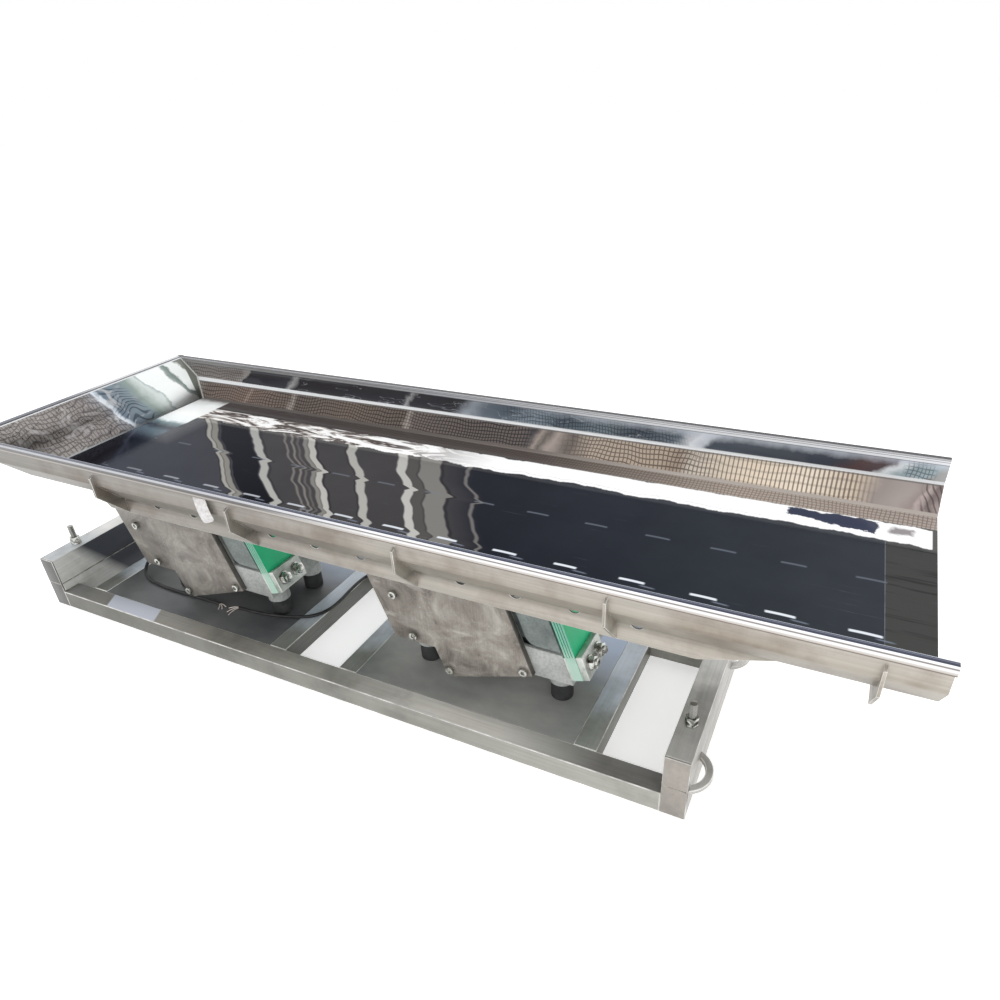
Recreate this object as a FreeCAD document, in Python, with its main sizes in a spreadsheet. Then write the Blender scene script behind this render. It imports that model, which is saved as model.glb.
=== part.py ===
import FreeCAD, Part
import math
import os
import re
import Sketcher

# Linear vibratory feeder. A polished trough, open at its right end, rides on two equal drives that
# stand on rubber feet in a welded frame of stainless tube. X runs with the flow, to the open end,
# the front is at -Y, and Z is up. The origin is under the middle of the whole, on the ground.

doc = FreeCAD.newDocument("linear_vibratory_feeder")
sheet = doc.addObject("Spreadsheet::Sheet", "size")

# Driving dimensions, in millimetres and degrees
SIZES = {
    # Frame
    "frame_length": 1450,
    "frame_width": 390,
    "tube_width": 40,
    "tube_height": 60,
    "tube_wall": 3,
    "cap_thickness": 4,
    "rail_size": 40,
    "bar_right_outer": 420,
    "bar_right_inner": -57,
    "bar_left_inner": -227,
    "bar_left_outer": -742,
    "plate_thickness": 6,
    "lug_thickness": 8,
    "lug_radius": 48,
    "lug_reach": 27,
    "lug_bar": 12,
    "lug_inset": 44,
    "stud_radius": 6,
    "stud_inset": 79,
    "stud_length": 48,
    "stud_root_radius": 5.7,
    "stud_relief": 0.5,
    "stud_nut_radius": 10.4,
    "stud_nut_height": 9,
    "stud_hole_play": 0.3,
    # Trough
    "trough_length": 1640,
    "trough_overhang": 255,
    "rim_width": 530,
    "rim_height": 448,
    "wall_height": 82,
    "panel_height": 43,
    "panel_spread": 33.8,
    "end_wall_spread": 81,
    "sheet_thickness": 2,
    "fold_radius": 3,
    "hem_radius": 1,
    "hem_width": 12,
    "hem_drop": 12,
    # Under the trough
    "beam_depth": 36,
    "beam_thickness": 3,
    "beam_flange": 25,
    "beam_inset": 52,
    "beam_left": -535,
    "beam_right": 701,
    "beam_taper": 38,
    "beam_long_taper": 112,
    "scallop_radius": 10,
    "scallop_pitch": 87.5,
    "rib_pitch": 310,
    "rib_end_inset": 62,
    "rib_thickness": 4,
    "gusset_top_drop": 24,
    "gusset_edge": 36,
    "gusset_stand_out": 8,
    "stiffener_thickness": 5,
    "stiffener_spread": 125,
    # Drives
    "drive_right": 203.5,
    "drive_pitch": 639,
    "spring_lean": 19.5,
    "foot_pitch_long": 270,
    "foot_pitch_cross": 104,
    "foot_radius": 20,
    "foot_height": 37,
    "boss_radius": 23,
    "boss_flare": 4,
    "foot_ledge_thickness": 18,
    "foot_ledge_edge": 4,
    "casting_bottom": 118,
    "casting_width": 212,
    "casting_floor": 22,
    "cheek_thickness": 8,
    "ledge_height": 57,
    "ledge_left": 125,
    "rear_block_height": 96,
    "side_plate_thickness": 11,
    "side_plate_right": -66,
    "side_plate_width": 257,
    "side_plate_low": 29,
    "side_plate_top": 144,
    "side_plate_level": 7,
    "side_plate_tail": 165,
    "side_plate_notch": 179,
    "side_plate_chamfer": 14,
    "cheek_inset": 5,
    "screw_radius": 7.5,
    "screw_height": 6,
    "socket_radius": 4,
    "socket_depth": 3.5,
    # Springs and clamps
    "spring_x": 181.2,
    "spring_spacing": 290,
    "spring_rise": 12,
    "spring_length": 168,
    "spring_width": 75,
    "leaf_thickness": 3.6,
    "leaf_gap": 1.2,
    "pad_thickness": 4,
    "pack_inset": 0,
    "rear_pack_inset": 20,
    "clamp_height": 46,
    "clamp_thickness": 12,
    "bolt_pitch": 36,
    "washer_radius": 13.5,
    "washer_thickness": 2.5,
    "clamp_nut_radius": 12,
    "clamp_nut_height": 9,
    "bolt_radius": 6.5,
    "bolt_tip": 4,
    # Upper casting and magnet
    "head_clearance": 6,
    "upper_bottom": 128,
    "upper_top": 180,
    "head_left": -58,
    "head_radius": 22,
    "magnet_x": 10,
    "magnet_z": 200,
    "air_gap": 2,
    "armature_thickness": 25,
    "magnet_half_height": 36,
    "magnet_width": 60,
    "core_depth": 60,
    "core_back": 15,
    "core_leg": 10,
    "centre_leg": 24,
    "coil_play": 1,
    "coil_wall": 11,
    # Bracket between the upper casting and the trough
    "bracket_width": 50,
    "bracket_wall": 4,
    "bracket_length": 330,
    "bracket_front": 70,
    "bracket_rear": -125,
    # Cables
    "gland_radius": 8,
    "gland_nut_radius": 9,
    "gland_nut_length": 10,
    "gland_length": 18,
    "cable_radius": 3.5,
    "wire_radius": 0.8,
    "wire_length": 20,
}

for number, (alias, value) in enumerate(SIZES.items(), start=1):
    sheet.set("A%d" % number, str(value))
    sheet.setAlias("A%d" % number, alias)
doc.recompute()


def full(expression):
    """An expression in which every driving dimension is read from the sheet."""
    text = str(expression)
    return re.sub(r"[a-z_]+", lambda m: "size." + m.group() if m.group() in SIZES else m.group(), text)


def value_of(alias):
    """The number that the sheet holds for a driving dimension."""
    return float(sheet.get(alias))


def bind(thing, prop, expression):
    thing.setExpression(prop, full(expression))


def place(thing, x, y, z):
    """Put a piece at bound coordinates."""
    bind(thing, "Placement.Base.x", x)
    bind(thing, "Placement.Base.y", y)
    bind(thing, "Placement.Base.z", z)
    return thing


def lean_back(thing, x, y, z):
    """Put a piece that was made upright at bound coordinates, leaning as the leaf springs do."""
    against_flow = FreeCAD.Rotation(FreeCAD.Vector(0, -1, 0), 10)
    thing.Placement = FreeCAD.Placement(FreeCAD.Vector(), against_flow)
    bind(thing, "Placement.Rotation.Angle", "spring_lean")
    return place(thing, x, y, z)


def block(label, x, y, z, length, width, height):
    """A rectangular block from its lowest corner and its size along X, Y and Z."""
    solid = doc.addObject("Part::Box", label)
    bind(solid, "Length", length)
    bind(solid, "Width", width)
    bind(solid, "Height", height)
    return place(solid, x, y, z)


def rod(label, x, y, z, radius, length, axis=(0, 0, 1)):
    """A round bar from the centre of its first end, along an axis."""
    solid = doc.addObject("Part::Cylinder", label)
    turn = FreeCAD.Rotation(FreeCAD.Vector(0, 0, 1), FreeCAD.Vector(*axis))
    solid.Placement = FreeCAD.Placement(FreeCAD.Vector(), turn)
    bind(solid, "Radius", radius)
    bind(solid, "Height", length)
    return place(solid, x, y, z)


def hexagon(label, x, y, z, radius, height, axis=(0, 0, 1)):
    """A hexagonal nut or bolt head from the centre of its seat, along an axis."""
    solid = doc.addObject("Part::Prism", label)
    turn = FreeCAD.Rotation(FreeCAD.Vector(0, 0, 1), FreeCAD.Vector(*axis))
    solid.Placement = FreeCAD.Placement(FreeCAD.Vector(), turn)
    solid.Polygon = 6
    bind(solid, "Circumradius", radius)
    bind(solid, "Height", height)
    return place(solid, x, y, z)


def section(label, plane, outline, width):
    """A body padded both ways from an origin plane, its outline's corners bound to the sheet."""
    body = doc.addObject("PartDesign::Body", label)
    sketch = body.newObject("Sketcher::SketchObject", label + "_outline")
    for feature in body.Origin.OriginFeatures:
        if feature.Role == plane:
            sketch.AttachmentSupport = [(feature, "")]
    sketch.MapMode = "FlatFace"
    count = len(outline)
    turn = 2 * math.pi / count
    start = [FreeCAD.Vector(math.cos(i * turn), math.sin(i * turn), 0) for i in range(count)]
    for i in range(count):
        sketch.addGeometry(Part.LineSegment(start[i], start[(i + 1) % count]), False)
    for i in range(count):
        sketch.addConstraint(Sketcher.Constraint("Coincident", i, 2, (i + 1) % count, 1))
    for i, corner in enumerate(outline):
        for kind, distance in zip(("DistanceX", "DistanceY"), corner):
            held = sketch.addConstraint(Sketcher.Constraint(kind, -1, 1, i, 1, 1.0))
            bind(sketch, "Constraints[%d]" % held, distance)
    pad = body.newObject("PartDesign::Pad", label + "_pad")
    pad.Profile = sketch
    pad.SideType = "Symmetric"
    bind(pad, "Length", width)
    return body


def round_corners(body, radius, corners):
    """Round the long edges of a section at some corners of its outline, counted from zero."""
    doc.recompute()
    sketch = next(item for item in body.Group if item.TypeId == "Sketcher::SketchObject")
    solid = body.Tip
    edges = []
    for corner in corners:
        spot = Part.Vertex(sketch.Placement.multVec(sketch.getPoint(corner, 1)))
        for number, edge in enumerate(solid.Shape.Edges, start=1):
            if edge.distToShape(spot)[0] < 0.001:
                edges.append("Edge%d" % number)
    rounding = body.newObject("PartDesign::Fillet", body.Label + "_rounding")
    rounding.Base = (solid, edges)
    bind(rounding, "Radius", radius)
    return body


def joined(label, *solids):
    """One solid from several that meet."""
    fusion = doc.addObject("Part::MultiFuse", label)
    fusion.Shapes = list(solids)
    fusion.Refine = True
    return fusion


def cut(label, base, *tools):
    """A solid with other solids taken out of it."""
    difference = doc.addObject("Part::Cut", label)
    difference.Base = base
    difference.Tool = tools[0] if len(tools) == 1 else joined(label + "_tools", *tools)
    difference.Refine = True
    return difference


def overlap(label, first, second):
    """What two solids have in common."""
    common = doc.addObject("Part::Common", label)
    common.Base = first
    common.Tool = second
    return common


def group(label, solids):
    """Like pieces that share one node, each still a solid of its own."""
    together = doc.addObject("Part::Compound", label)
    together.Links = solids
    return together


nodes = {}


def keep(name, thing):
    """Name a finished sub-part. Its name is its file's name."""
    thing.Label = name
    nodes[name] = thing
    return thing


# Places that several sub-parts share
FRAME_LEFT = "(-(frame_length + trough_overhang) / 2)"
FRAME_RIGHT = "(%s + frame_length)" % FRAME_LEFT
FRAME_FRONT = "(-frame_width / 2)"
TROUGH_RIGHT = "((frame_length + trough_overhang) / 2)"
TROUGH_LEFT = "(%s - trough_length)" % TROUGH_RIGHT
FLOOR_TOP = "(rim_height - wall_height)"
FLOOR_UNDER = "(rim_height - wall_height - sheet_thickness)"
BEAM_UNDER = "(%s - beam_depth + sheet_thickness)" % FLOOR_UNDER
BEAM_FACE = "(rim_width / 2 - beam_inset)"
WALL_INNER = "(rim_width / 2 - hem_width)"
FLOOR_EDGE = "(rim_width / 2 - hem_width - panel_spread)"

# Frame: two rectangular tubes stacked at each end, closed by caps, joined by a front and a rear rail
TUBE_INNER_WIDTH = "(tube_width - 2 * tube_wall)"
for end, left in (("left", FRAME_LEFT), ("right", "(%s - tube_width)" % FRAME_RIGHT)):
    for level, bottom in (("lower", "0"), ("upper", "tube_height")):
        name = "%s_end_tube_%s" % (level, end)
        front = "(%s + cap_thickness)" % FRAME_FRONT
        length = "(frame_width - 2 * cap_thickness)"
        outer = block(name + "_outer", left, front, bottom, "tube_width", length, "tube_height")
        bore = block(
            name + "_bore",
            left + " + tube_wall",
            front,
            bottom + " + tube_wall",
            TUBE_INNER_WIDTH,
            length,
            "tube_height - 2 * tube_wall",
        )
        hollows = [bore]
        if level == "upper":
            middle = left + " + tube_width / 2"
            top = "(2 * tube_height)"
            hollows.append(
                rod(
                    name + "_stud_hole",
                    middle,
                    FRAME_FRONT + " + stud_inset",
                    top + " - tube_wall",
                    "stud_radius + stud_hole_play",
                    "tube_wall",
                )
            )
        keep(name, cut(name, outer, *hollows))

caps = []
for left in (FRAME_LEFT, "(%s - tube_width)" % FRAME_RIGHT):
    for front in (FRAME_FRONT, "(-%s - cap_thickness)" % FRAME_FRONT):
        for bottom in ("0", "tube_height"):
            caps.append(block("cap", left, front, bottom, "tube_width", "cap_thickness", "tube_height"))
keep("tube_end_caps", group("tube_end_caps", caps))

RAIL_LENGTH = "(frame_length - 2 * tube_width)"
for name, front in (("front_rail", FRAME_FRONT), ("rear_rail", "(-%s - rail_size)" % FRAME_FRONT)):
    left = "(%s + tube_width)" % FRAME_LEFT
    outer = block(name + "_outer", left, front, "0", RAIL_LENGTH, "rail_size", "rail_size")
    bore = block(
        name + "_bore",
        left,
        front + " + tube_wall",
        "tube_wall",
        RAIL_LENGTH,
        "rail_size - 2 * tube_wall",
        "rail_size - 2 * tube_wall",
    )
    keep(name, cut(name, outer, bore))

# Cross bars, two in each bay, and the flat plate between them on which a drive stands
BAR_FRONT = "(%s + rail_size)" % FRAME_FRONT
BAR_LENGTH = "(frame_width - 2 * rail_size)"
bars = []
for side in ("left", "right"):
    for edge in ("outer", "inner"):
        centre = "bar_%s_%s" % (side, edge)
        left = "(%s - rail_size / 2)" % centre
        outer = block("bar", left, BAR_FRONT, "0", "rail_size", BAR_LENGTH, "rail_size")
        bore = block(
            "bar_bore",
            left + " + tube_wall",
            BAR_FRONT,
            "tube_wall",
            "rail_size - 2 * tube_wall",
            BAR_LENGTH,
            "rail_size - 2 * tube_wall",
        )
        bars.append(cut("cross_bar", outer, bore))
    low, high = ("outer", "inner") if side == "left" else ("inner", "outer")
    start = "(bar_%s_%s + rail_size / 2)" % (side, low)
    span = "(bar_%s_%s - bar_%s_%s - rail_size)" % (side, high, side, low)
    keep(
        "drive_plate_" + side,
        block(
            "drive_plate",
            start,
            BAR_FRONT,
            "rail_size - plate_thickness",
            span,
            BAR_LENGTH,
            "plate_thickness",
        ),
    )
keep("cross_bars", group("cross_bars", bars))

# Two half-ring lugs welded across the joint of the tubes on the right end
lugs = []
for y in ("(%s + lug_inset)" % FRAME_FRONT, "(-%s - lug_inset)" % FRAME_FRONT):
    bottom = "(tube_height - lug_thickness / 2)"
    centre = "(%s + lug_reach - lug_radius)" % FRAME_RIGHT
    ring = cut(
        "lug_ring",
        rod("lug_disc", centre, y, bottom, "lug_radius", "lug_thickness"),
        rod("lug_hole", centre, y, bottom, "lug_radius - lug_bar", "lug_thickness"),
    )
    outside = block(
        "lug_outside",
        FRAME_RIGHT,
        y + " - lug_radius",
        bottom,
        "lug_reach",
        "2 * lug_radius",
        "lug_thickness",
    )
    lugs.append(overlap("lug", ring, outside))
keep("lifting_lugs", group("lifting_lugs", lugs))

# A threaded stud with two nuts on each upper end tube. It is thinner inside the nuts, at its root.
STUD_ROOT = "(tube_wall + 2 * stud_nut_height + stud_relief)"
studs = []
nuts = []
for x in ("(%s + tube_width / 2)" % FRAME_LEFT, "(%s - tube_width / 2)" % FRAME_RIGHT):
    y = "(%s + stud_inset)" % FRAME_FRONT
    top = "(2 * tube_height)"
    root = rod("stud_root", x, y, top + " - tube_wall", "stud_root_radius", STUD_ROOT)
    free = "stud_length - " + STUD_ROOT
    free_end = rod(
        "stud_free_end", x, y, top + " - tube_wall + " + STUD_ROOT, "stud_radius", free
    )
    studs.append(joined("stud", root, free_end))
    for level in ("0", "stud_nut_height"):
        seat = top + " + " + level
        nut = hexagon("nut_blank", x, y, seat, "stud_nut_radius", "stud_nut_height")
        bore = rod("nut_bore", x, y, seat, "stud_radius", "stud_nut_height")
        nuts.append(cut("nut", nut, bore))
keep("anchor_studs", group("anchor_studs", studs))
keep("anchor_nuts", group("anchor_nuts", nuts))

# Trough: one folded pan whose walls rise in two panels to a hemmed rim
RIM_UNDER = "(rim_height - sheet_thickness)"
FOLD_HEIGHT = "(rim_height - panel_height)"
HEM_LOW = "(rim_height - hem_drop)"


def pan_outline(outer_hems=True):
    """Half of the pan's section, from the middle of the floor to the rim, at +Y."""
    inner = [
        (FLOOR_EDGE, FLOOR_TOP),
        (WALL_INNER, FOLD_HEIGHT),
        (WALL_INNER, "rim_height"),
    ]
    hem = [
        ("rim_width / 2", "rim_height"),
        ("rim_width / 2", HEM_LOW),
        ("rim_width / 2 - sheet_thickness", HEM_LOW),
        ("rim_width / 2 - sheet_thickness", RIM_UNDER),
    ]
    outer = [
        ("%s + sheet_thickness" % WALL_INNER, RIM_UNDER),
        ("%s + sheet_thickness" % WALL_INNER, FOLD_HEIGHT + " - sheet_thickness / 2"),
        ("%s + sheet_thickness / 2" % FLOOR_EDGE, FLOOR_UNDER),
    ]
    if not outer_hems:
        return outer
    return inner + hem + outer


def mirrored(points):
    """The same points at -Y, in the opposite order."""
    return [("-(%s)" % y, z) for y, z in reversed(points)]


half = pan_outline()
END_REACH = "(trough_length + hem_width)"
pan_raw = section("pan_raw", "YZ_Plane", half + mirrored(half), END_REACH)
last = 2 * len(half) - 1
for radius, corners in (
    ("fold_radius", (0, 1)),
    ("fold_radius + sheet_thickness", (8, 9)),
    ("hem_radius", (6, 7)),
    ("hem_radius + sheet_thickness", (2, 3)),
):
    round_corners(pan_raw, radius, corners + tuple(last - corner for corner in corners))
place(pan_raw, "(%s - %s / 2)" % (TROUGH_RIGHT, END_REACH), "0", "0")

# The end wall is one flat sheet that leans out. The pan is cut to its inner face.
END_TOP = "(%s + hem_width)" % TROUGH_LEFT
END_FOOT = "(%s + end_wall_spread)" % END_TOP
END_SLOPE = "(end_wall_spread / wall_height)"
FAR_LEFT = "(%s - 2 * end_wall_spread)" % TROUGH_LEFT
beyond = section(
    "beyond_end",
    "XZ_Plane",
    [
        (END_TOP, "rim_height"),
        ("%s + %s * (wall_height + beam_depth)" % (END_TOP, END_SLOPE), "%s - beam_depth" % FLOOR_TOP),
        (FAR_LEFT, "%s - beam_depth" % FLOOR_TOP),
        (FAR_LEFT, "rim_height"),
    ],
    "2 * %s + 2 * sheet_thickness" % WALL_INNER,
)
corner_cut = block(
    "corner_cut",
    FAR_LEFT,
    "-rim_width / 2",
    HEM_LOW,
    "%s - (%s)" % (END_TOP, FAR_LEFT),
    "rim_width",
    "hem_drop",
)
keep("trough_pan", cut("trough_pan", pan_raw, beyond, corner_cut))

filled = section(
    "filled_pan", "YZ_Plane", pan_outline(False) + mirrored(pan_outline(False)), "3 * end_wall_spread"
)
round_corners(filled, "fold_radius + sheet_thickness", (1, 2, 3, 4))
place(filled, TROUGH_LEFT, "0", "0")
END_THICK = "(sheet_thickness / cos(atan(%s)))" % END_SLOPE
leaning = section(
    "leaning_sheet",
    "XZ_Plane",
    [
        (END_TOP, "rim_height"),
        ("%s + %s * (wall_height + sheet_thickness)" % (END_TOP, END_SLOPE), FLOOR_UNDER),
        (
            "%s + %s * (wall_height + sheet_thickness) - %s" % (END_TOP, END_SLOPE, END_THICK),
            FLOOR_UNDER,
        ),
        ("%s - %s" % (END_TOP, END_THICK), "rim_height"),
    ],
    "rim_width",
)
end_sheet = overlap("end_sheet", filled, leaning)
end_hem_top = block(
    "end_hem_top", TROUGH_LEFT, "-rim_width / 2", RIM_UNDER, "hem_width", "rim_width", "sheet_thickness"
)
end_hem_lip = block(
    "end_hem_lip", TROUGH_LEFT, "-rim_width / 2", HEM_LOW, "sheet_thickness", "rim_width", "hem_drop"
)
keep("trough_end_wall", joined("trough_end_wall", end_sheet, end_hem_top, end_hem_lip))

# Edge beams: a bent strip under each edge of the floor, with tapered ends and half-round cut-outs
SCALLOPS = 12
for name, sign in (("edge_beam_front", -1), ("edge_beam_rear", 1)):
    web = section(
        name + "_web",
        "XZ_Plane",
        [
            ("beam_left", FLOOR_UNDER),
            ("beam_left + beam_taper", BEAM_UNDER),
            ("beam_right - beam_long_taper", BEAM_UNDER),
            ("beam_right", FLOOR_UNDER),
        ],
        "beam_thickness",
    )
    place(web, "0", "%d * (%s - beam_thickness / 2)" % (sign, BEAM_FACE), "0")
    inner_face = "%d * (%s - beam_thickness)" % (sign, BEAM_FACE)
    flange = block(
        name + "_flange",
        "beam_left + beam_taper",
        inner_face if sign < 0 else inner_face + " - beam_flange",
        BEAM_UNDER,
        "beam_right - beam_long_taper - beam_left - beam_taper",
        "beam_flange",
        "beam_thickness",
    )
    scallops = []
    for number in range(SCALLOPS):
        scallops.append(
            rod(
                name + "_scallop",
                "beam_left + beam_taper + scallop_pitch * (%d + 0.5)" % number,
                "%d * %s" % (sign, BEAM_FACE) if sign < 0 else inner_face,
                FLOOR_UNDER,
                "scallop_radius",
                "beam_thickness",
                (0, 1, 0),
            )
        )
    keep(name, cut(name, joined(name + "_bent", web, flange), *scallops))

# Cross ribs between the beams, gussets that carry the ribs out to the walls, and the outlet rib
RIB_LOW = "(%s + beam_thickness)" % BEAM_UNDER
GUSSET_OUT = "(%s + sheet_thickness + gusset_stand_out)" % WALL_INNER
GUSSET_TOP = "(rim_height - gusset_top_drop)"
WALL_OUTER = "(%s + sheet_thickness)" % WALL_INNER
FOLD_OUTER = "(%s - sheet_thickness / 2)" % FOLD_HEIGHT
FLOOR_OUTER = "(%s + sheet_thickness / 2)" % FLOOR_EDGE


def gusset_outline(inner_edge):
    """A gusset's outline at +Y, from its inner edge out to the wall."""
    return [
        (inner_edge, BEAM_UNDER),
        (GUSSET_OUT, "%s - gusset_stand_out / 2 - gusset_edge" % GUSSET_TOP),
        (GUSSET_OUT, "%s - gusset_stand_out / 2" % GUSSET_TOP),
        (WALL_OUTER, GUSSET_TOP),
        (WALL_OUTER, FOLD_OUTER),
        (FLOOR_OUTER, FLOOR_UNDER),
    ]


RIB_LAST = "(%s - rib_end_inset)" % TROUGH_RIGHT
ribs = []
gussets = []
for number in range(1, 5):
    x = "(%s - %d * rib_pitch)" % (RIB_LAST, number)
    rib = block(
        "rib",
        x + " - rib_thickness / 2",
        "-(%s - beam_thickness)" % BEAM_FACE,
        RIB_LOW,
        "rib_thickness",
        "2 * (%s - beam_thickness)" % BEAM_FACE,
        "%s - %s" % (FLOOR_UNDER, RIB_LOW),
    )
    ribs.append(rib)
    plate = gusset_outline(BEAM_FACE) + [(BEAM_FACE, FLOOR_UNDER)]
    for outline in (plate, mirrored(plate)):
        gusset = section("gusset", "YZ_Plane", outline, "rib_thickness")
        gussets.append(place(gusset, x, "0", "0"))
keep("cross_ribs", group("cross_ribs", ribs))
keep("wall_gussets", group("wall_gussets", gussets))

half = gusset_outline(BEAM_FACE)
outlet_rib = section("outlet_rib", "YZ_Plane", half + mirrored(half), "rib_thickness")
keep("outlet_rib", place(outlet_rib, RIB_LAST, "0", "0"))

# Floor stiffeners: three rows of flat bar, stitched to the floor between the ribs
bars = []
for row in (-1, 0, 1):
    for number in range(4):
        left = "(%s - %d * rib_pitch + rib_thickness / 2)" % (RIB_LAST, number + 1)
        bars.append(
            block(
                "stiffener",
                left,
                "%d * stiffener_spread - stiffener_thickness / 2" % row,
                BEAM_UNDER,
                "rib_pitch - rib_thickness",
                "stiffener_thickness",
                "%s - %s" % (FLOOR_UNDER, BEAM_UNDER),
            )
        )
keep("floor_stiffeners", group("floor_stiffeners", bars))


# The drives. Their leaf springs lean against the flow. Places that lean with them are measured from
# the foot of the front springs: along the throw, and up along the springs.
def front_face(rise):
    """X of the face that the front springs are clamped to, at a height above the casting's foot."""
    return "(spring_x - pad_thickness / cos(spring_lean) - (%s) * tan(spring_lean))" % rise


def rear_face(rise):
    """X of the face that the rear springs are clamped to, at a height above the casting's foot."""
    return "(spring_x - spring_spacing + pad_thickness / cos(spring_lean) - (%s) * tan(spring_lean))" % rise


def throw_face(distance, rise):
    """X of a face square to the throw, at a distance from the middle of the air gap."""
    return "(magnet_x + (%s) / cos(spring_lean) - (casting_bottom + %s - magnet_z) * tan(spring_lean))" % (
        distance,
        rise,
    )


def leaning_point(along, up):
    """X and Z of a point given along the throw and up along the springs."""
    return (
        "(spring_x + (%s) * cos(spring_lean) - (%s) * sin(spring_lean))" % (along, up),
        "(casting_bottom + (%s) * sin(spring_lean) + (%s) * cos(spring_lean))" % (along, up),
    )


def up_to_level(along, level):
    """How far up along the springs a level lies, at a distance along the throw."""
    return "((%s) / cos(spring_lean) - (%s) * tan(spring_lean))" % (level, along)


def side_plate_outline(inset):
    """A side plate: square to the springs, cut level at its top and at its rear lower corner."""
    right = "(side_plate_right - %s)" % inset
    left = "(side_plate_right - side_plate_width + %s)" % inset
    low = "(side_plate_low + %s)" % inset
    tail = "(side_plate_right - side_plate_tail)"
    notch = "(side_plate_right - side_plate_notch + %s)" % inset
    level = "(side_plate_level + %s)" % inset
    top = "(side_plate_top - %s)" % inset
    return [
        leaning_point(right, low),
        leaning_point(tail, low),
        leaning_point(notch, low + " + side_plate_chamfer"),
        leaning_point(notch, up_to_level(notch, level)),
        leaning_point(left, up_to_level(left, level)),
        leaning_point(left, up_to_level(left, top)),
        leaning_point(right, up_to_level(right, top)),
    ]


PACK = "(4 * leaf_thickness + 3 * leaf_gap)"
CASTING_SIDE = "(casting_width / 2)"
LEDGE = "(casting_bottom + ledge_height)"
CORE_BACK = "(-air_gap / 2 - core_depth)"
HEAD_FACE = "(air_gap / 2 + armature_thickness)"
UPPER_WIDTH = "(casting_width - 2 * cheek_thickness - 2 * head_clearance)"


def base_casting(side, x):
    """The counter mass: floor, rear block, spring seats, two cheeks, a tail and four bosses."""
    floor = section(
        "casting_floor_" + side,
        "XZ_Plane",
        [
            (rear_face("0"), "casting_bottom"),
            (front_face("0"), "casting_bottom"),
            (front_face("ledge_height"), LEDGE),
            ("ledge_left", LEDGE),
            ("ledge_left", "casting_bottom + casting_floor"),
            (throw_face(CORE_BACK, "casting_floor"), "casting_bottom + casting_floor"),
            (throw_face(CORE_BACK, "rear_block_height"), "casting_bottom + rear_block_height"),
            (rear_face("rear_block_height"), "casting_bottom + rear_block_height"),
        ],
        "casting_width",
    )
    outline = side_plate_outline("cheek_inset")
    cheek_right = leaning_point("side_plate_right - cheek_inset", "side_plate_low + cheek_inset")[0]
    pieces = [floor]
    for sign in (-1, 1):
        middle = "%d * (casting_width - cheek_thickness) / 2" % sign
        cheek = section("cheek_" + side, "XZ_Plane", outline, "cheek_thickness")
        pieces.append(place(cheek, "0", middle, "0"))
        ledge = block(
            "ledge_" + side,
            cheek_right + " - casting_floor",
            middle + " - cheek_thickness / 2",
            "casting_bottom",
            "ledge_left - %s + casting_floor" % cheek_right,
            "cheek_thickness",
            "ledge_height",
        )
        pieces.append(ledge)
    tail = section("tail_" + side, "XZ_Plane", outline[:4], "casting_width")
    pieces.append(tail)
    ledge_end = "(foot_pitch_long / 2 + boss_radius + foot_ledge_edge)"
    pieces.append(
        block(
            "foot_ledge_" + side,
            "-" + ledge_end,
            "-foot_pitch_cross / 2 - boss_radius",
            "casting_bottom - foot_ledge_thickness",
            ledge_end + " + side_plate_right",
            "foot_pitch_cross + 2 * boss_radius",
            "foot_ledge_thickness",
        )
    )
    for sign_x in (-1, 1):
        for sign_y in (-1, 1):
            boss = doc.addObject("Part::Cone", "boss_" + side)
            bind(boss, "Radius1", "boss_radius")
            bind(boss, "Radius2", "boss_radius - boss_flare")
            bind(boss, "Height", "casting_bottom - rail_size - foot_height")
            boss_x = "%d * foot_pitch_long / 2" % sign_x
            boss_y = "%d * foot_pitch_cross / 2" % sign_y
            pieces.append(place(boss, boss_x, boss_y, "rail_size + foot_height"))
    return place(joined("base_casting_" + side, *pieces), x, "0", "0")


def spring_pack(name, x, pivot, outward, inset):
    """A pack of four leaves, with spacers between them where they are clamped."""
    solids = []
    for sign in (-1, 1):
        near = "casting_width / 2 - %s - spring_width" % inset
        y = "-(%s) - spring_width" % near if sign < 0 else near
        for leaf in range(4):
            offset = "%d * (leaf_thickness + leaf_gap)" % leaf
            start = offset if outward > 0 else "-(%s) - leaf_thickness" % offset
            leaf_size = ("leaf_thickness", "spring_width", "spring_length")
            blade = block("leaf", start, "0", "spring_rise", *leaf_size)
            solids.append(lean_back(group("leaf_place", [blade]), pivot, y, "casting_bottom"))
            if leaf == 3:
                continue
            start = offset + " + leaf_thickness"
            if outward < 0:
                start = "-(%s) - leaf_thickness - leaf_gap" % offset
            for low in ("spring_rise", "spring_rise + spring_length - clamp_height"):
                shim = block("shim", start, "0", low, "leaf_gap", "spring_width", "clamp_height")
                solids.append(lean_back(group("shim_place", [shim]), pivot, y, "casting_bottom"))
    return place(group(name, solids), x, "0", "0")


def clamp_bolt(outward, y, z):
    """The end of a bolt that holds a clamp bar: washer, nut and threaded tip."""
    axis = (outward, 0, 0)
    seat = "%d * (%s + clamp_thickness)" % (outward, PACK)
    nut_seat = "%s + %d * washer_thickness" % (seat, outward)
    tip_start = "%s + %d * clamp_nut_height" % (nut_seat, outward)
    return joined(
        "clamp_bolt",
        rod("washer", seat, y, z, "washer_radius", "washer_thickness", axis),
        hexagon("clamp_nut", nut_seat, y, z, "clamp_nut_radius", "clamp_nut_height", axis),
        rod("bolt_tip", tip_start, y, z, "bolt_radius", "bolt_tip", axis),
    )


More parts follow.
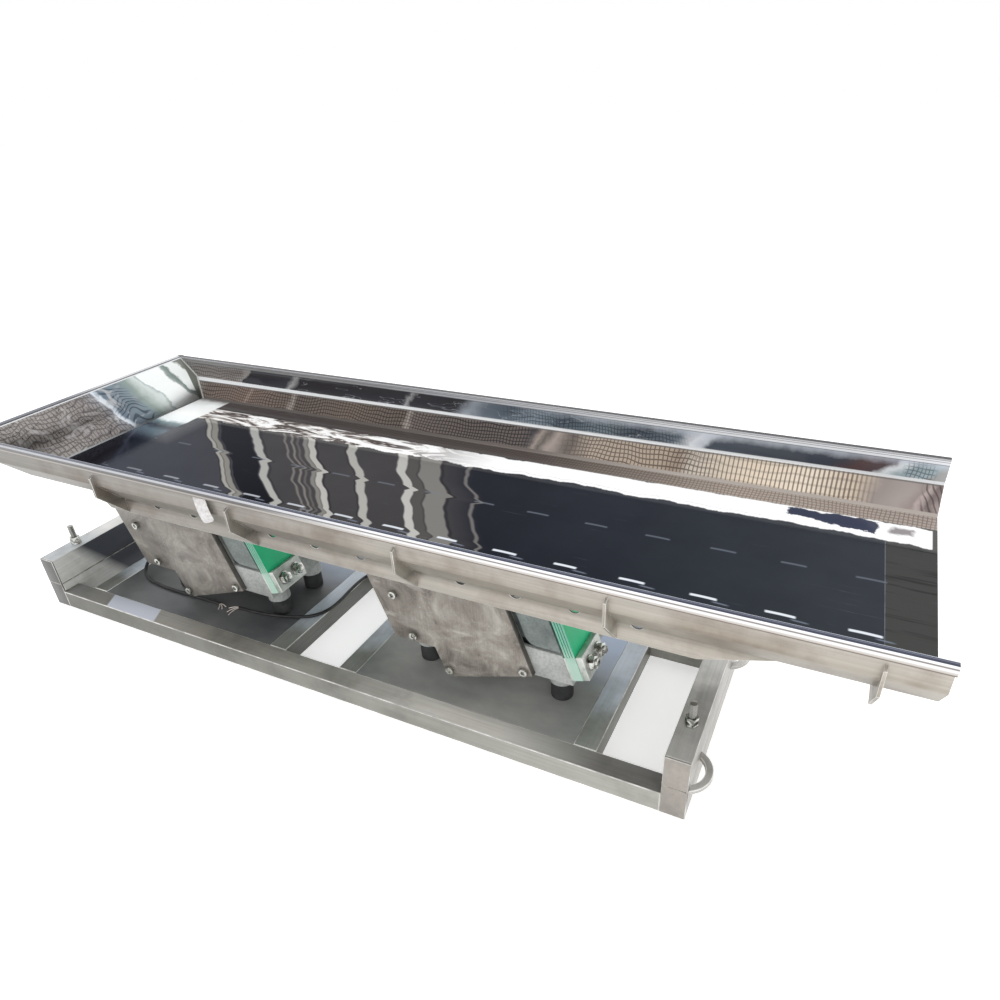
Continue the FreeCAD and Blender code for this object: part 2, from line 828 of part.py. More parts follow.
def clamps(label, x, level):
    """Clamp bars, the pads behind the springs and the bolts of one level, for all four packs."""
    bars = []
    bolts = []
    ends = (("spring_x", 1, "pack_inset"), ("(spring_x - spring_spacing)", -1, "rear_pack_inset"))
    for pivot, outward, inset in ends:
        for sign in (-1, 1):
            near = "casting_width / 2 - %s - spring_width" % inset
            y = "-(%s) - spring_width" % near if sign < 0 else near
            bar_start = PACK if outward > 0 else "-%s - clamp_thickness" % PACK
            pad_start = "-pad_thickness" if outward > 0 else "0"
            sizes = ((bar_start, "clamp_thickness"), (pad_start, "pad_thickness"))
            for start, thickness in sizes:
                bar = block("clamp", start, "0", level, thickness, "spring_width", "clamp_height")
                bars.append(lean_back(group("clamp_place", [bar]), pivot, y, "casting_bottom"))
            for offset in (-1, 1):
                bolt_y = "spring_width / 2 + %d * bolt_pitch / 2" % offset
                bolt = clamp_bolt(outward, bolt_y, level + " + clamp_height / 2")
                bolts.append(lean_back(group("bolt_place", [bolt]), pivot, y, "casting_bottom"))
    return (
        place(group("%s_clamp_bars" % label, bars), x, "0", "0"),
        place(group("%s_clamp_bolts" % label, bolts), x, "0", "0"),
    )


def upper_casting(side, x):
    """The swinging head: a bar over the magnet with a foot in front that carries the armature."""
    head_low = "(ledge_height + head_clearance)"
    bar = section(
        "upper_bar_" + side,
        "XZ_Plane",
        [
            (rear_face("upper_bottom"), "casting_bottom + upper_bottom"),
            (throw_face(HEAD_FACE, "upper_bottom"), "casting_bottom + upper_bottom"),
            (throw_face(HEAD_FACE, head_low), "casting_bottom + " + head_low),
            (front_face(head_low), "casting_bottom + " + head_low),
            (front_face("upper_top"), "casting_bottom + upper_top"),
            (rear_face("upper_top"), "casting_bottom + upper_top"),
        ],
        UPPER_WIDTH,
    )
    head_face = "spring_x + head_left / cos(spring_lean) - (%s) * tan(spring_lean)"
    head = section(
        "upper_head_" + side,
        "XZ_Plane",
        [
            (head_face % head_low, "casting_bottom + " + head_low),
            (front_face(head_low), "casting_bottom + " + head_low),
            (front_face("upper_top"), "casting_bottom + upper_top"),
            (head_face % "upper_top", "casting_bottom + upper_top"),
        ],
        "casting_width",
    )
    round_corners(head, "head_radius", (0,))
    return place(joined("upper_casting_" + side, bar, head), x, "0", "0")


def magnet(side, x):
    """A laminated E core, the coil on its centre leg, and the armature across the air gap."""
    half = "magnet_half_height"
    whole = "2 * magnet_half_height"
    near = "-magnet_width / 2"
    back = block("core_back", CORE_BACK, near, "-" + half, "core_back", "magnet_width", whole)
    legs = [back]
    leg_start = "%s + core_back" % CORE_BACK
    leg_length = "core_depth - core_back"
    for low, height in (
        ("-" + half, "core_leg"),
        (half + " - core_leg", "core_leg"),
        ("-centre_leg / 2", "centre_leg"),
    ):
        legs.append(block("core_leg", leg_start, near, low, leg_length, "magnet_width", height))
    core = joined("e_core_" + side, *legs)
    winding = block(
        "winding",
        "%s + 2 * coil_play" % leg_start,
        "-magnet_width / 2 - coil_play - coil_wall",
        "-centre_leg / 2 - coil_play - coil_wall",
        "%s - 6 * coil_play" % leg_length,
        "magnet_width + 2 * coil_play + 2 * coil_wall",
        "centre_leg + 2 * coil_play + 2 * coil_wall",
    )
    window = block(
        "winding_window",
        leg_start,
        "-magnet_width / 2 - coil_play",
        "-centre_leg / 2 - coil_play",
        leg_length,
        "magnet_width + 2 * coil_play",
        "centre_leg + 2 * coil_play",
    )
    coil = cut("coil_blank_" + side, winding, window)
    armature_size = ("armature_thickness", "magnet_width", whole)
    armature = block("armature_blank", "air_gap / 2", near, "-" + half, *armature_size)
    pieces = {"magnet_core_": core, "magnet_coil_": coil, "armature_": armature}
    for name, piece in pieces.items():
        upright = group(name + side + "_place", [piece])
        keep(name + side, group(name + side, [lean_back(upright, x + " + magnet_x", "0", "magnet_z")]))


for side, x in (("left", "(drive_right - drive_pitch)"), ("right", "drive_right")):
    keep("base_casting_" + side, base_casting(side, x))
    feet = []
    for sign_x in (-1, 1):
        for sign_y in (-1, 1):
            foot_x = x + " + %d * foot_pitch_long / 2" % sign_x
            foot_y = "%d * foot_pitch_cross / 2" % sign_y
            feet.append(rod("foot", foot_x, foot_y, "rail_size", "foot_radius", "foot_height"))
    keep("rubber_feet_" + side, group("rubber_feet_" + side, feet))

    screws = []
    for face, sign in (("front", -1), ("rear", 1)):
        plate = section("side_plate_" + face, "XZ_Plane", side_plate_outline("0"), "side_plate_thickness")
        middle = "%d * (casting_width + side_plate_thickness) / 2" % sign
        keep("side_plate_%s_%s" % (face, side), place(plate, x, middle, "0"))
        outside = "%d * (casting_width / 2 + side_plate_thickness)" % sign
        for along, up in (
            ("side_plate_right - side_plate_width + 40", "209"),
            ("side_plate_right - side_plate_width + 44", "122"),
            ("side_plate_right - side_plate_tail - 2", "side_plate_low + 16"),
            ("side_plate_right - 14", "side_plate_low + 11"),
        ):
            centre_x, centre_z = leaning_point(along, up)
            spot = x + " + " + centre_x
            axis = (0, sign, 0)
            socket_seat = "%s + %d * (screw_height - socket_depth)" % (outside, sign)
            head = rod("screw_head", spot, outside, centre_z, "screw_radius", "screw_height", axis)
            socket = hexagon(
                "socket", spot, socket_seat, centre_z, "socket_radius", "socket_depth", axis
            )
            screws.append(cut("screw", head, socket))
    keep("side_plate_screws_" + side, group("side_plate_screws_" + side, screws))

    packs = (
        ("front_springs_", "spring_x", 1, "pack_inset"),
        ("rear_springs_", "(spring_x - spring_spacing)", -1, "rear_pack_inset"),
    )
    for name, pivot, outward, inset in packs:
        keep(name + side, spring_pack(name + side, x, pivot, outward, inset))
    levels = (("lower", "spring_rise"), ("upper", "(spring_rise + spring_length - clamp_height)"))
    for name, level in levels:
        bars, bolts = clamps(name, x, level)
        keep("%s_clamp_bars_%s" % (name, side), bars)
        keep("%s_clamp_bolts_%s" % (name, side), bolts)
    keep("upper_casting_" + side, upper_casting(side, x))
    magnet(side, x)

    channels = []
    for offset in ("bracket_front", "bracket_rear"):
        low = "(casting_bottom + upper_top)"
        channel = section(
            "bracket_" + side,
            "XZ_Plane",
            [
                ("-bracket_width / 2", low),
                ("bracket_width / 2", low),
                ("bracket_width / 2", low + " + bracket_wall"),
                ("-bracket_width / 2 + bracket_wall", low + " + bracket_wall"),
                ("-bracket_width / 2 + bracket_wall", BEAM_UNDER + " - bracket_wall"),
                ("bracket_width / 2", BEAM_UNDER + " - bracket_wall"),
                ("bracket_width / 2", BEAM_UNDER),
                ("-bracket_width / 2", BEAM_UNDER),
            ],
            "bracket_length",
        )
        channels.append(place(channel, x + " + " + offset, "0", "0"))
    keep("drive_bracket_" + side, group("drive_bracket_" + side, channels))

    gland_x = x + " - foot_pitch_long / 2 - boss_radius - foot_ledge_edge"
    gland_z = "casting_bottom - foot_ledge_thickness / 2"
    upstream = (-1, 0, 0)
    nut = hexagon("gland_nut", gland_x, "0", gland_z, "gland_nut_radius", "gland_nut_length", upstream)
    sleeve = rod("gland_sleeve", gland_x, "0", gland_z, "gland_radius", "gland_length", upstream)
    keep("cable_gland_" + side, joined("cable_gland_" + side, nut, sleeve))

# Supply cables. Each leaves its drive's gland, comes down to the left bay and ends in bare wires.
# Their points are chosen by hand. Straight runs meet in arcs.
CABLE_ROUTES = {
    "cable_left": [
        (-615.5, 0, 109),
        (-641, 0, 109),
        (-668, -11, 101),
        (-692, -30, 82),
        (-700, -54, 62),
        (-688, -76, 48),
        (-660, -87, 43.8),
        (-626, -90.5, 43.8),
        (-585, -93.5, 43.8),
        (-530, -94, 43.8),
        (-480, -92, 43.8),
        (-440, -93, 43.8),
    ],
    "cable_right": [
        (23.5, 0, 109),
        (-6, 0, 109),
        (-38, 11, 105),
        (-72, 32, 97),
        (-103, 59, 86),
        (-124, 90, 74),
        (-131, 121, 64),
        (-153, 142, 56.5),
        (-183, 142, 50),
        (-205, 120, 45.5),
        (-209, 88, 43.8),
        (-207, 52, 43.8),
        (-203, 14, 43.8),
        (-206, -22, 43.8),
        (-224, -50, 43.8),
        (-257, -66, 43.8),
        (-298, -78, 43.8),
        (-345, -86, 43.8),
        (-390, -87, 43.8),
    ],
}


def rounded_path(points):
    """Straight runs joined by tangent arcs, as large as the runs beside them allow."""
    corners = [FreeCAD.Vector(*point) for point in points]
    edges = []
    radii = []
    start = corners[0]
    for before, corner, after in zip(corners, corners[1:], corners[2:]):
        back = (before - corner).normalize()
        ahead = (after - corner).normalize()
        reach = 0.45 * min((before - corner).Length, (after - corner).Length)
        half_turn = (math.pi - back.getAngle(ahead)) / 2
        radius = reach / math.tan(half_turn)
        first = corner + back * reach
        last = corner + ahead * reach
        inward = (back + ahead).normalize()
        middle = corner + inward * (radius / math.cos(half_turn) - radius)
        edges.append(Part.LineSegment(start, first).toShape())
        edges.append(Part.Arc(first, middle, last).toShape())
        radii.append(radius)
        start = last
    edges.append(Part.LineSegment(start, corners[-1]).toShape())
    return Part.Wire(edges), radii


for name, points in CABLE_ROUTES.items():
    path, radii = rounded_path(points)
    start = FreeCAD.Vector(*points[0])
    heading = FreeCAD.Vector(*points[1]) - start
    circle = Part.Circle(start, heading, value_of("cable_radius"))
    tube = path.makePipeShell([Part.Wire(circle.toShape())], True, False)
    cable = doc.addObject("Part::Feature", name)
    cable.Shape = tube
    keep(name, cable)
    expected = math.pi * value_of("cable_radius") ** 2 * path.Length
    report = "%s: length %.0f, radii %.0f to %.0f, volume %.4f of its section times its length"
    print(report % (name, path.Length, min(radii), max(radii), tube.Volume / expected))

# Bare wires, splayed from the end of each cable
wires = []
for name, spread in (
    ("cable_left", ((1, 0.4, 0.05), (1, -0.4, 0.05), (1, -0.05, 0.4))),
    ("cable_right", ((-1, 0.4, 0.05), (-1, -0.4, 0.05), (-1, 0.05, 0.4))),
):
    end = CABLE_ROUTES[name][-1]
    for aim in spread:
        wire_x = "%s + %s * wire_radius" % (end[0], aim[0])
        wire_y = "%s + %s * wire_radius" % (end[1], 5 * aim[1])
        wire_z = "%s + %s * wire_radius" % (end[2], 5 * aim[2] - 1)
        wires.append(rod("wire", wire_x, wire_y, wire_z, "wire_radius", "wire_length", aim))
keep("wire_ends", group("wire_ends", wires))

# Check every object, then write each sub-part
doc.recompute()
for thing in doc.Objects:
    if "Invalid" in thing.State or "Error" in thing.State:
        raise RuntimeError("%s did not build: %s" % (thing.Label, thing.State))
os.makedirs("parts", exist_ok=True)
for name, thing in nodes.items():
    shape = thing.Shape
    if shape.isNull() or not shape.isValid() or not shape.Solids:
        raise RuntimeError("%s has no valid shape" % name)
    shape.exportStep("parts/%s.step" % name)
print(len(nodes), "nodes")
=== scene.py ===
import math

import bpy
from mathutils import Matrix, Vector


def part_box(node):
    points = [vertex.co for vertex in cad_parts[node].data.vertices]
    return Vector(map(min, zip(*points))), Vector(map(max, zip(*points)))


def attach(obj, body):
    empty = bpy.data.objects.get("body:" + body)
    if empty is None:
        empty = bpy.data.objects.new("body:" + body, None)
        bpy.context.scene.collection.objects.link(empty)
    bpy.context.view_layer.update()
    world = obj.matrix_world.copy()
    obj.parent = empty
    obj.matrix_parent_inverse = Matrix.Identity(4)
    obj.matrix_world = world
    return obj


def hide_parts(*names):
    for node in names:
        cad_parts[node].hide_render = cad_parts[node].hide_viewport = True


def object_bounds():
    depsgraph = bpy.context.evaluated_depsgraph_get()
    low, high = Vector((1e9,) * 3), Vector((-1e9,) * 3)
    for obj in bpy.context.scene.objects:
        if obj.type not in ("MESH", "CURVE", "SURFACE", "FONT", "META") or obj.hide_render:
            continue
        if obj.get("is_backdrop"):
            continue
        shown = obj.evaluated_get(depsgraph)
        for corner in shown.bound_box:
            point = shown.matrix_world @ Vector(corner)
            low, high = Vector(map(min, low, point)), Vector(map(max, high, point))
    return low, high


# Linear vibratory feeder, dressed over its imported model. X runs with the flow, the front is at -Y.
# Lengths are in metres. Tones are given as the eye reads them, from 0 to 255.
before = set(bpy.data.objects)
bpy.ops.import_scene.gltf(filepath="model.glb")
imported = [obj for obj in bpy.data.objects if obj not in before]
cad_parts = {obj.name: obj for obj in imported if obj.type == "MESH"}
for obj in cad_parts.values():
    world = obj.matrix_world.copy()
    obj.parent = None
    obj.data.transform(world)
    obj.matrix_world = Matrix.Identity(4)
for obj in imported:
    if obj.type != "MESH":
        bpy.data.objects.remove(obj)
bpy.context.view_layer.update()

# Camera
# It stands in front of the open end, a little above the trough, and leans a little to one side.
bpy.ops.object.camera_add(location=(0.7101, -0.9525, 0.9513))
camera = bpy.context.object
camera.name = "camera"
turn, drop, roll = math.radians(27.75), math.radians(32.06), math.radians(-2.92)
ahead = Vector(
    (-math.sin(turn) * math.cos(drop), math.cos(turn) * math.cos(drop), -math.sin(drop))
)
level_right = ahead.cross(Vector((0, 0, 1))).normalized()
level_up = level_right.cross(ahead)
right = math.cos(roll) * level_right + math.sin(roll) * level_up
up = math.cos(roll) * level_up - math.sin(roll) * level_right
camera.rotation_euler = Matrix((right, up, -ahead)).transposed().to_euler()
camera.data.sensor_width = 36
camera.data.lens = 26.395
camera.data.shift_x = -0.0043
camera.data.shift_y = 0.0517
camera.data.clip_start = 0.01
bpy.context.scene.camera = camera
bpy.context.scene.view_settings.view_transform = "Standard"

# Floor and backdrop
# A plain white sweep far larger than the object. It reads as white and keeps the soft shadow.


class Pattern:
    """A node's output. Sums, differences, products and shares of patterns make further nodes."""

    def __init__(self, socket):
        self.socket = socket
        self.tree = socket.id_data

    def __add__(self, other):
        return calc("ADD", self, other)

    def __sub__(self, other):
        return calc("SUBTRACT", self, other)

    def __rsub__(self, other):
        return calc("SUBTRACT", other, self)

    def __mul__(self, other):
        return calc("MULTIPLY", self, other)

    def __truediv__(self, other):
        return calc("DIVIDE", self, other)


def feed(socket, source):
    """Give a socket a pattern, or a value of its own."""
    if isinstance(source, Pattern):
        source.tree.links.new(source.socket, socket)
    else:
        socket.default_value = source


def new_pattern(kind, inputs, output=0, **settings):
    """The output of a new node, in the tree of the first pattern among its inputs."""
    tree = next(source.tree for source in inputs.values() if isinstance(source, Pattern))
    node = tree.nodes.new("ShaderNode" + kind)
    for name, value in settings.items():
        setattr(node, name, value)
    for name, source in inputs.items():
        feed(node.inputs[name], source)
    return Pattern(node.outputs[output])


def calc(operation, *sources):
    """The result of a sum, product or other operation."""
    return new_pattern("Math", dict(enumerate(sources)), operation=operation)


def seen_directly(tree):
    """One for rays that show the surroundings themselves, also in a mirror or through glass."""
    rays = tree.nodes.new("ShaderNodeLightPath").outputs
    seen = calc("MAXIMUM", Pattern(rays["Is Camera Ray"]), Pattern(rays["Is Glossy Ray"]))
    return calc("MAXIMUM", seen, Pattern(rays["Is Transmission Ray"]))


def new_finish(name, metallic=0.0, roughness=0.5):
    """A new material, its shader, and the place on the object as a pattern."""
    material = bpy.data.materials.new(name)
    material.use_nodes = True
    tree = material.node_tree
    shader = tree.nodes["Principled BSDF"]
    shader.inputs["Metallic"].default_value = metallic
    shader.inputs["Roughness"].default_value = roughness
    return material, shader, Pattern(tree.nodes.new("ShaderNodeTexCoord").outputs["Object"])


WHITE = (1, 1, 1, 1)
FLOOR_WIDTH, FLOOR_DROP = 60, 0.0005
bpy.ops.object.select_all(action="DESELECT")
bpy.ops.mesh.primitive_plane_add(size=FLOOR_WIDTH, location=(0, 0, -FLOOR_DROP))
floor = bpy.context.object
floor.name = "studio_floor"
floor_paint, shader = new_finish("studio_white", roughness=0.9)[:2]
shader.inputs["Base Color"].default_value = (0.86, 0.86, 0.86, 1)
shader.inputs["Specular IOR Level"].default_value = 0.1
shader.inputs["Emission Color"].default_value = WHITE
feed(shader.inputs["Emission Strength"], seen_directly(floor_paint.node_tree) * 0.5)
floor.data.materials.append(floor_paint)
floor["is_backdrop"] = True

world = bpy.data.worlds.new("studio_air")
bpy.context.scene.world = world
world.use_nodes = True
air = world.node_tree
soft_light = air.nodes["Background"]
plain_white = air.nodes.new("ShaderNodeBackground")
for light in (soft_light, plain_white):
    light.inputs["Color"].default_value = WHITE
    light.inputs["Strength"].default_value = 1.0
lights = {1: Pattern(soft_light.outputs[0]), 2: Pattern(plain_white.outputs[0])}
either = new_pattern("MixShader", {0: seen_directly(air), **lights})
feed(air.nodes["World Output"].inputs["Surface"], either)


def studio_lamp(name, place, aim, width, watts):
    """A square soft box that points at a place on the object."""
    bpy.ops.object.light_add(type="AREA", location=place)
    lamp = bpy.context.object
    lamp.name = name
    lamp.data.size = width
    lamp.data.energy = watts
    lamp.rotation_euler = (Vector(aim) - Vector(place)).to_track_quat("-Z", "Y").to_euler()


studio_lamp("lamp_over", (0.4, 0.3, 3.2), (0, 0, 0.2), 2.2, 14)
studio_lamp("lamp_front", (2.2, -2.6, 1.6), (0.1, 0, 0.2), 1.6, 14)

# Bare wires
# Three thin wires stick out of each sheath. They are bent apart and to the front by hand.


def tone(red, green, blue):
    """A colour as the eye reads it, in the linear form that shaders take."""
    linear = []
    for part in (red, green, blue):
        share = part / 255
        linear.append(share / 12.92 if share < 0.04 else ((share + 0.055) / 1.055) ** 2.4)
    return (*linear, 1)


def clouds(place, scale, detail=6, rough=0.6, distortion=0.0):
    """Soft noise from 0 to 1."""
    inputs = {"Vector": place, "Scale": scale, "Detail": detail, "Roughness": rough}
    return new_pattern("TexNoise", {**inputs, "Distortion": distortion}, "Fac")


def tones(factor, *stops):
    """Colours along a factor. A stop is its position and its tone."""
    ramp = new_pattern("ValToRGB", {0: factor})
    elements = ramp.socket.node.color_ramp.elements
    elements.remove(elements[-1])
    elements[0].position = stops[0][0]
    elements[0].color = tone(*stops[0][1])
    for position, colour in stops[1:]:
        elements.new(position).color = tone(*colour)
    return ramp


def paint(shader, colour):
    """Give a shader its colour."""
    feed(shader.inputs["Base Color"], colour)


BUMP_REACH = 0.001


def relief(shader, height, strength):
    """Small bumps on a finish."""
    bump = new_pattern("Bump", {"Height": height, "Strength": strength, "Distance": BUMP_REACH})
    feed(shader.inputs["Normal"], bump)


def rubbed(shader, height, low, high):
    """Roughness that follows a grain."""
    gloss = new_pattern("MapRange", {"Value": height, "To Min": low, "To Max": high})
    feed(shader.inputs["Roughness"], gloss)


def worn_finish(name, scale, *stops, detail=6, metallic=0.0, gloss=(0.3, 0.5), bumps=0.0):
    """A finish whose tones, gloss and bumps all follow one soft noise."""
    material, shader, place = new_finish(name, metallic)
    wear = clouds(place, scale, detail)
    paint(shader, tones(wear, *stops))
    rubbed(shader, wear, *gloss)
    if bumps:
        relief(shader, wear, bumps)
    return material


def round_wire(name, finish, radius, *runs, kind="NURBS", sides=2):
    """Round wire along each run of points."""
    line = bpy.data.curves.new(name, "CURVE")
    line.dimensions = "3D"
    line.bevel_depth = radius
    line.bevel_resolution = sides
    line.use_fill_caps = True
    for run in runs:
        spline = line.splines.new(kind)
        spline.points.add(len(run) - 1)
        for point, stop in zip(spline.points, run):
            point.co = (*stop, 1)
        if kind == "NURBS":
            spline.order_u = 3
            spline.use_endpoint_u = True
    wire = bpy.data.objects.new(name, line)
    bpy.context.scene.collection.objects.link(wire)
    line.materials.append(finish)
    return wire


WIRE_RADIUS = 0.0010
WIRE_HEIGHTS = (0.0438, 0.0456, 0.0430)
WIRE_BENDS = [
    ((-0.4405, -0.0925), (-0.431, -0.0915), (-0.421, -0.0950)),
    ((-0.4405, -0.0935), (-0.430, -0.0950), (-0.4235, -0.1045)),
    ((-0.4405, -0.0945), (-0.433, -0.0980), (-0.4300, -0.1085)),
    ((-0.3900, -0.0862), (-0.400, -0.0865), (-0.4115, -0.0965)),
    ((-0.3900, -0.0872), (-0.400, -0.0900), (-0.4050, -0.1090)),
    ((-0.3900, -0.0882), (-0.396, -0.0950), (-0.3945, -0.1150)),
]
WIRE_TONES = (0.3, (226, 208, 198)), (0.7, (252, 246, 240))
wire_metal = worn_finish("dull_wire", 160, *WIRE_TONES, metallic=0.2, gloss=(0.25, 0.45))
wire_runs = [[(*stop, height) for stop, height in zip(bend, WIRE_HEIGHTS)] for bend in WIRE_BENDS]
bare_wires = round_wire("bare_wires", wire_metal, WIRE_RADIUS, *wire_runs)
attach(bare_wires, "base")
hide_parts("wire_ends")

# Supply cables
# Black round flex, 7 mm thick. Each leaves the gland behind its drive, comes down to the plate of
# the left bay and ends in bare wires, not yet connected.


def along(value, low, high):
    """A value's share of the way from low to high, held to 0 and 1."""
    return new_pattern("MapRange", {"Value": value, "From Min": low, "From Max": high})


def mixed(factor, first, second, way="MIX"):
    """The second colour over the first."""
    inputs = {0: factor, 6: first, 7: second}
    return new_pattern("Mix", inputs, 2, data_type="RGBA", blend_type=way)


def over(base, mask, colour, strength=1.0):
    """A tone laid over a base where a mask lets it."""
    if strength < 1:
        mask = mask * strength
    return mixed(mask, base, tone(*colour))


CABLE_DIAMETER = 0.007
CABLE_ROUTES = {
    "cable_left": [
        (-0.6155, 0, 0.109),
        (-0.641, 0, 0.109),
        (-0.668, -0.011, 0.101),
        (-0.692, -0.030, 0.082),
        (-0.700, -0.054, 0.062),
        (-0.688, -0.076, 0.048),
        (-0.660, -0.087, 0.0438),
        (-0.626, -0.0905, 0.0438),
        (-0.585, -0.0935, 0.0438),
        (-0.530, -0.094, 0.0438),
        (-0.480, -0.092, 0.0438),
        (-0.440, -0.093, 0.0438),
    ],
    "cable_right": [
        (0.0235, 0, 0.109),
        (-0.006, 0, 0.109),
        (-0.038, 0.011, 0.105),
        (-0.072, 0.032, 0.097),
        (-0.103, 0.059, 0.086),
        (-0.124, 0.090, 0.074),
        (-0.131, 0.121, 0.064),
        (-0.153, 0.142, 0.0565),
        (-0.183, 0.142, 0.050),
        (-0.205, 0.120, 0.0455),
        (-0.209, 0.088, 0.0438),
        (-0.207, 0.052, 0.0438),
        (-0.203, 0.014, 0.0438),
        (-0.206, -0.022, 0.0438),
        (-0.224, -0.050, 0.0438),
        (-0.257, -0.066, 0.0438),
        (-0.298, -0.078, 0.0438),
        (-0.345, -0.086, 0.0438),
        (-0.390, -0.087, 0.0438),
    ],
}

sheath, shader, place = new_finish("black_cable_sheath")
grain = clouds(place, 90)
dust = along(clouds(place, 14), 0.55, 0.75)
paint(shader, over(tones(grain, (0.3, (22, 22, 24)), (0.8, (44, 44, 46))), dust, (96, 92, 86), 0.5))
rubbed(shader, grain, 0.35, 0.55)
relief(shader, grain, 0.1)

for node, route in CABLE_ROUTES.items():
    flex = round_wire(node + "_flex", sheath, CABLE_DIAMETER / 2, route, sides=5)
    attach(flex, "base")
    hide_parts(node)


# Frame
# Welded from stainless tube with a brushed face, greyed by handling. Light and shade are painted on it:
# its upper faces are painted darker than its sides, and both change along X, as painted light and shade;
# the upper faces turn to a painted bluish reflection at the back, and its corners carry a painted
# highlight.


def dressed(node, body, slot, *finishes, edge=0.0, steps=2, sharp=30):
    """The CAD node's own form with worked edges. It stands for the node.

    The first finish is the faces' and a second one the edges'.
    """
    bpy.ops.object.select_all(action="DESELECT")
    piece = bpy.data.objects.new(node + "_made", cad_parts[node].data.copy())
    bpy.context.scene.collection.objects.link(piece)
    piece.data.materials.clear()
    for finish in finishes:
        piece.data.materials.append(finish)
    piece.select_set(True)
    bpy.context.view_layer.objects.active = piece
    bpy.ops.object.mode_set(mode="EDIT")
    bpy.ops.mesh.select_all(action="SELECT")
    bpy.ops.mesh.remove_doubles(threshold=0.00001)
    bpy.ops.mesh.dissolve_limited(angle_limit=math.radians(0.5))
    bpy.ops.object.mode_set(mode="OBJECT")
    if edge:
        bevel = piece.modifiers.new("worked_edges", "BEVEL")
        bevel.width = edge
        bevel.segments = steps
        bevel.limit_method = "ANGLE"
        bevel.angle_limit = math.radians(sharp)
        if len(finishes) > 1:
            bevel.material = 1
        bpy.ops.object.modifier_apply(modifier=bevel.name)
    bpy.ops.object.shade_smooth_by_angle(angle=math.radians(35))
    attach(piece, body)
    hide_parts(node)
    return piece


def split(place):
    """The three coordinates of a place."""
    parts = new_pattern("SeparateXYZ", {0: place})
    return [Pattern(part) for part in parts.socket.node.outputs]


def facing(shader, axis):
    """How far a face turns to +X, +Y or +Z, from -1 to 1."""
    normal = shader.id_data.nodes.new("ShaderNodeTexCoord").outputs["Normal"]
    return split(Pattern(normal))[axis]


def stretched(place, scale):
    """The place with each axis scaled."""
    return new_pattern("Mapping", {"Vector": place, "Scale": scale})


def tones_from(value, *stops):
    """Colours along a value, each stop at its own value."""
    low, high = stops[0][0], stops[-1][0]
    shares = [((at - low) / (high - low), colour) for at, colour in stops]
    return tones(along(value, low, high), *shares)


def tinted(base, colours, share=1.0):
    """A base darkened by colours that are near white."""
    return mixed(share, base, colours, "MULTIPLY")


FRAME_LEFT, FRAME_RIGHT = -0.85, 0.60

# A tone that leaves what it tints as it is
CLEAR = (255, 255, 255)

# A face counts as turned to an axis between these two shares
TURNED = 0.6, 0.9


def brushed_tube(name, side_left, side_right, tops, top_far_reflection, grain_scale):
    """Brushed steel: side tones from left to right and stops along X for the top, as painted light and
    shade, and a painted reflection for the top's far end.
    """
    material, shader, place = new_finish(name, metallic=0.15)
    x, y, z = split(place)
    blotches = clouds(place, 9, detail=8)
    grain = clouds(stretched(place, grain_scale), 1, detail=4)
    side = tones_from(x, (FRAME_LEFT, side_left), (FRAME_RIGHT, side_right))
    top_near = tones_from(x + blotches * 0.08, *tops)
    # The top turns to a painted reflection towards the back
    top = over(top_near, along(y + (blotches - 0.5) * 0.12, -0.10, -0.02), top_far_reflection)
    base = mixed(along(facing(shader, 2), *TURNED), side, top)
    cloudy = tones(blotches, (0.3, (184, 184, 182)), (0.5, (238, 238, 236)), (0.7, CLEAR))
    fine = tones(grain, (0.3, (234, 234, 232)), (0.7, CLEAR))
    paint(shader, tinted(tinted(base, cloudy, 0.8), fine))
    rubbed(shader, grain, 0.28, 0.46)
    relief(shader, grain, 0.08)
    return material


GRAIN_ALONG_X, GRAIN_ALONG_Y, GRAIN_EVEN = (5, 260, 260), (260, 5, 260), (120, 120, 120)
# Stops along X for the upper faces, as painted light and shade; the rails' bright stretch from 0.14 to
# 0.32 is a painted highlight
RAIL_TOPS = [
    (-0.85, (134, 136, 140)),
    (-0.58, (152, 148, 140)),
    (-0.30, (176, 173, 166)),
    (-0.02, (198, 196, 190)),
    (0.09, (208, 206, 200)),
    (0.14, (248, 246, 241)),
    (0.32, (244, 242, 237)),
    (0.41, (200, 199, 195)),
    (0.49, (146, 145, 143)),
    (0.60, (134, 133, 132)),
]
TUBE_TOPS = [
    (-0.85, (186, 190, 196)),
    (-0.80, (222, 226, 232)),
    (0.55, (204, 203, 201)),
    (0.60, (212, 211, 209)),
]
BAR_TOPS = [(-0.60, (120, 122, 118)), (0.10, (158, 161, 157)), (0.60, (176, 180, 176))]
CAP_TOPS = [(-0.85, (160, 158, 154)), (0.60, (176, 171, 166))]
# Each finish: side tones at the left and right ends, stops for the upper faces, and a painted reflection
# for their far end
rail_steel = brushed_tube(
    "rail_steel", (114, 113, 105), (204, 203, 197), RAIL_TOPS, (160, 170, 186), GRAIN_ALONG_X
)
tube_steel = brushed_tube(
    "end_tube_steel", (246, 245, 244), (214, 211, 207), TUBE_TOPS, (252, 251, 250), GRAIN_ALONG_Y
)
bar_steel = brushed_tube(
    "cross_bar_steel", (98, 99, 96), (158, 158, 154), BAR_TOPS, (224, 234, 248), GRAIN_ALONG_Y
)
cap_steel = brushed_tube(
    "cap_steel", (120, 120, 120), (186, 179, 173), CAP_TOPS, (176, 174, 170), GRAIN_EVEN
)
# Worked edges carry a painted highlight
EDGE_TONES = (0.35, (184, 183, 179)), (0.6, (250, 249, 245))
bright_edge = worn_finish("painted_edge_highlight", 30, *EDGE_TONES, detail=8, metallic=0.3, gloss=(0.25, 0.4))


def reopened(material):
    """The shader of a finish that is done, and the three coordinates again."""
    shader = material.node_tree.nodes["Principled BSDF"]
    place = Pattern(shader.id_data.nodes.new("ShaderNodeTexCoord").outputs["Object"])
    return (shader, *split(place))


def painted(shader):
    """The colour that a shader has."""
    return Pattern(shader.inputs["Base Color"].links[0].from_socket)


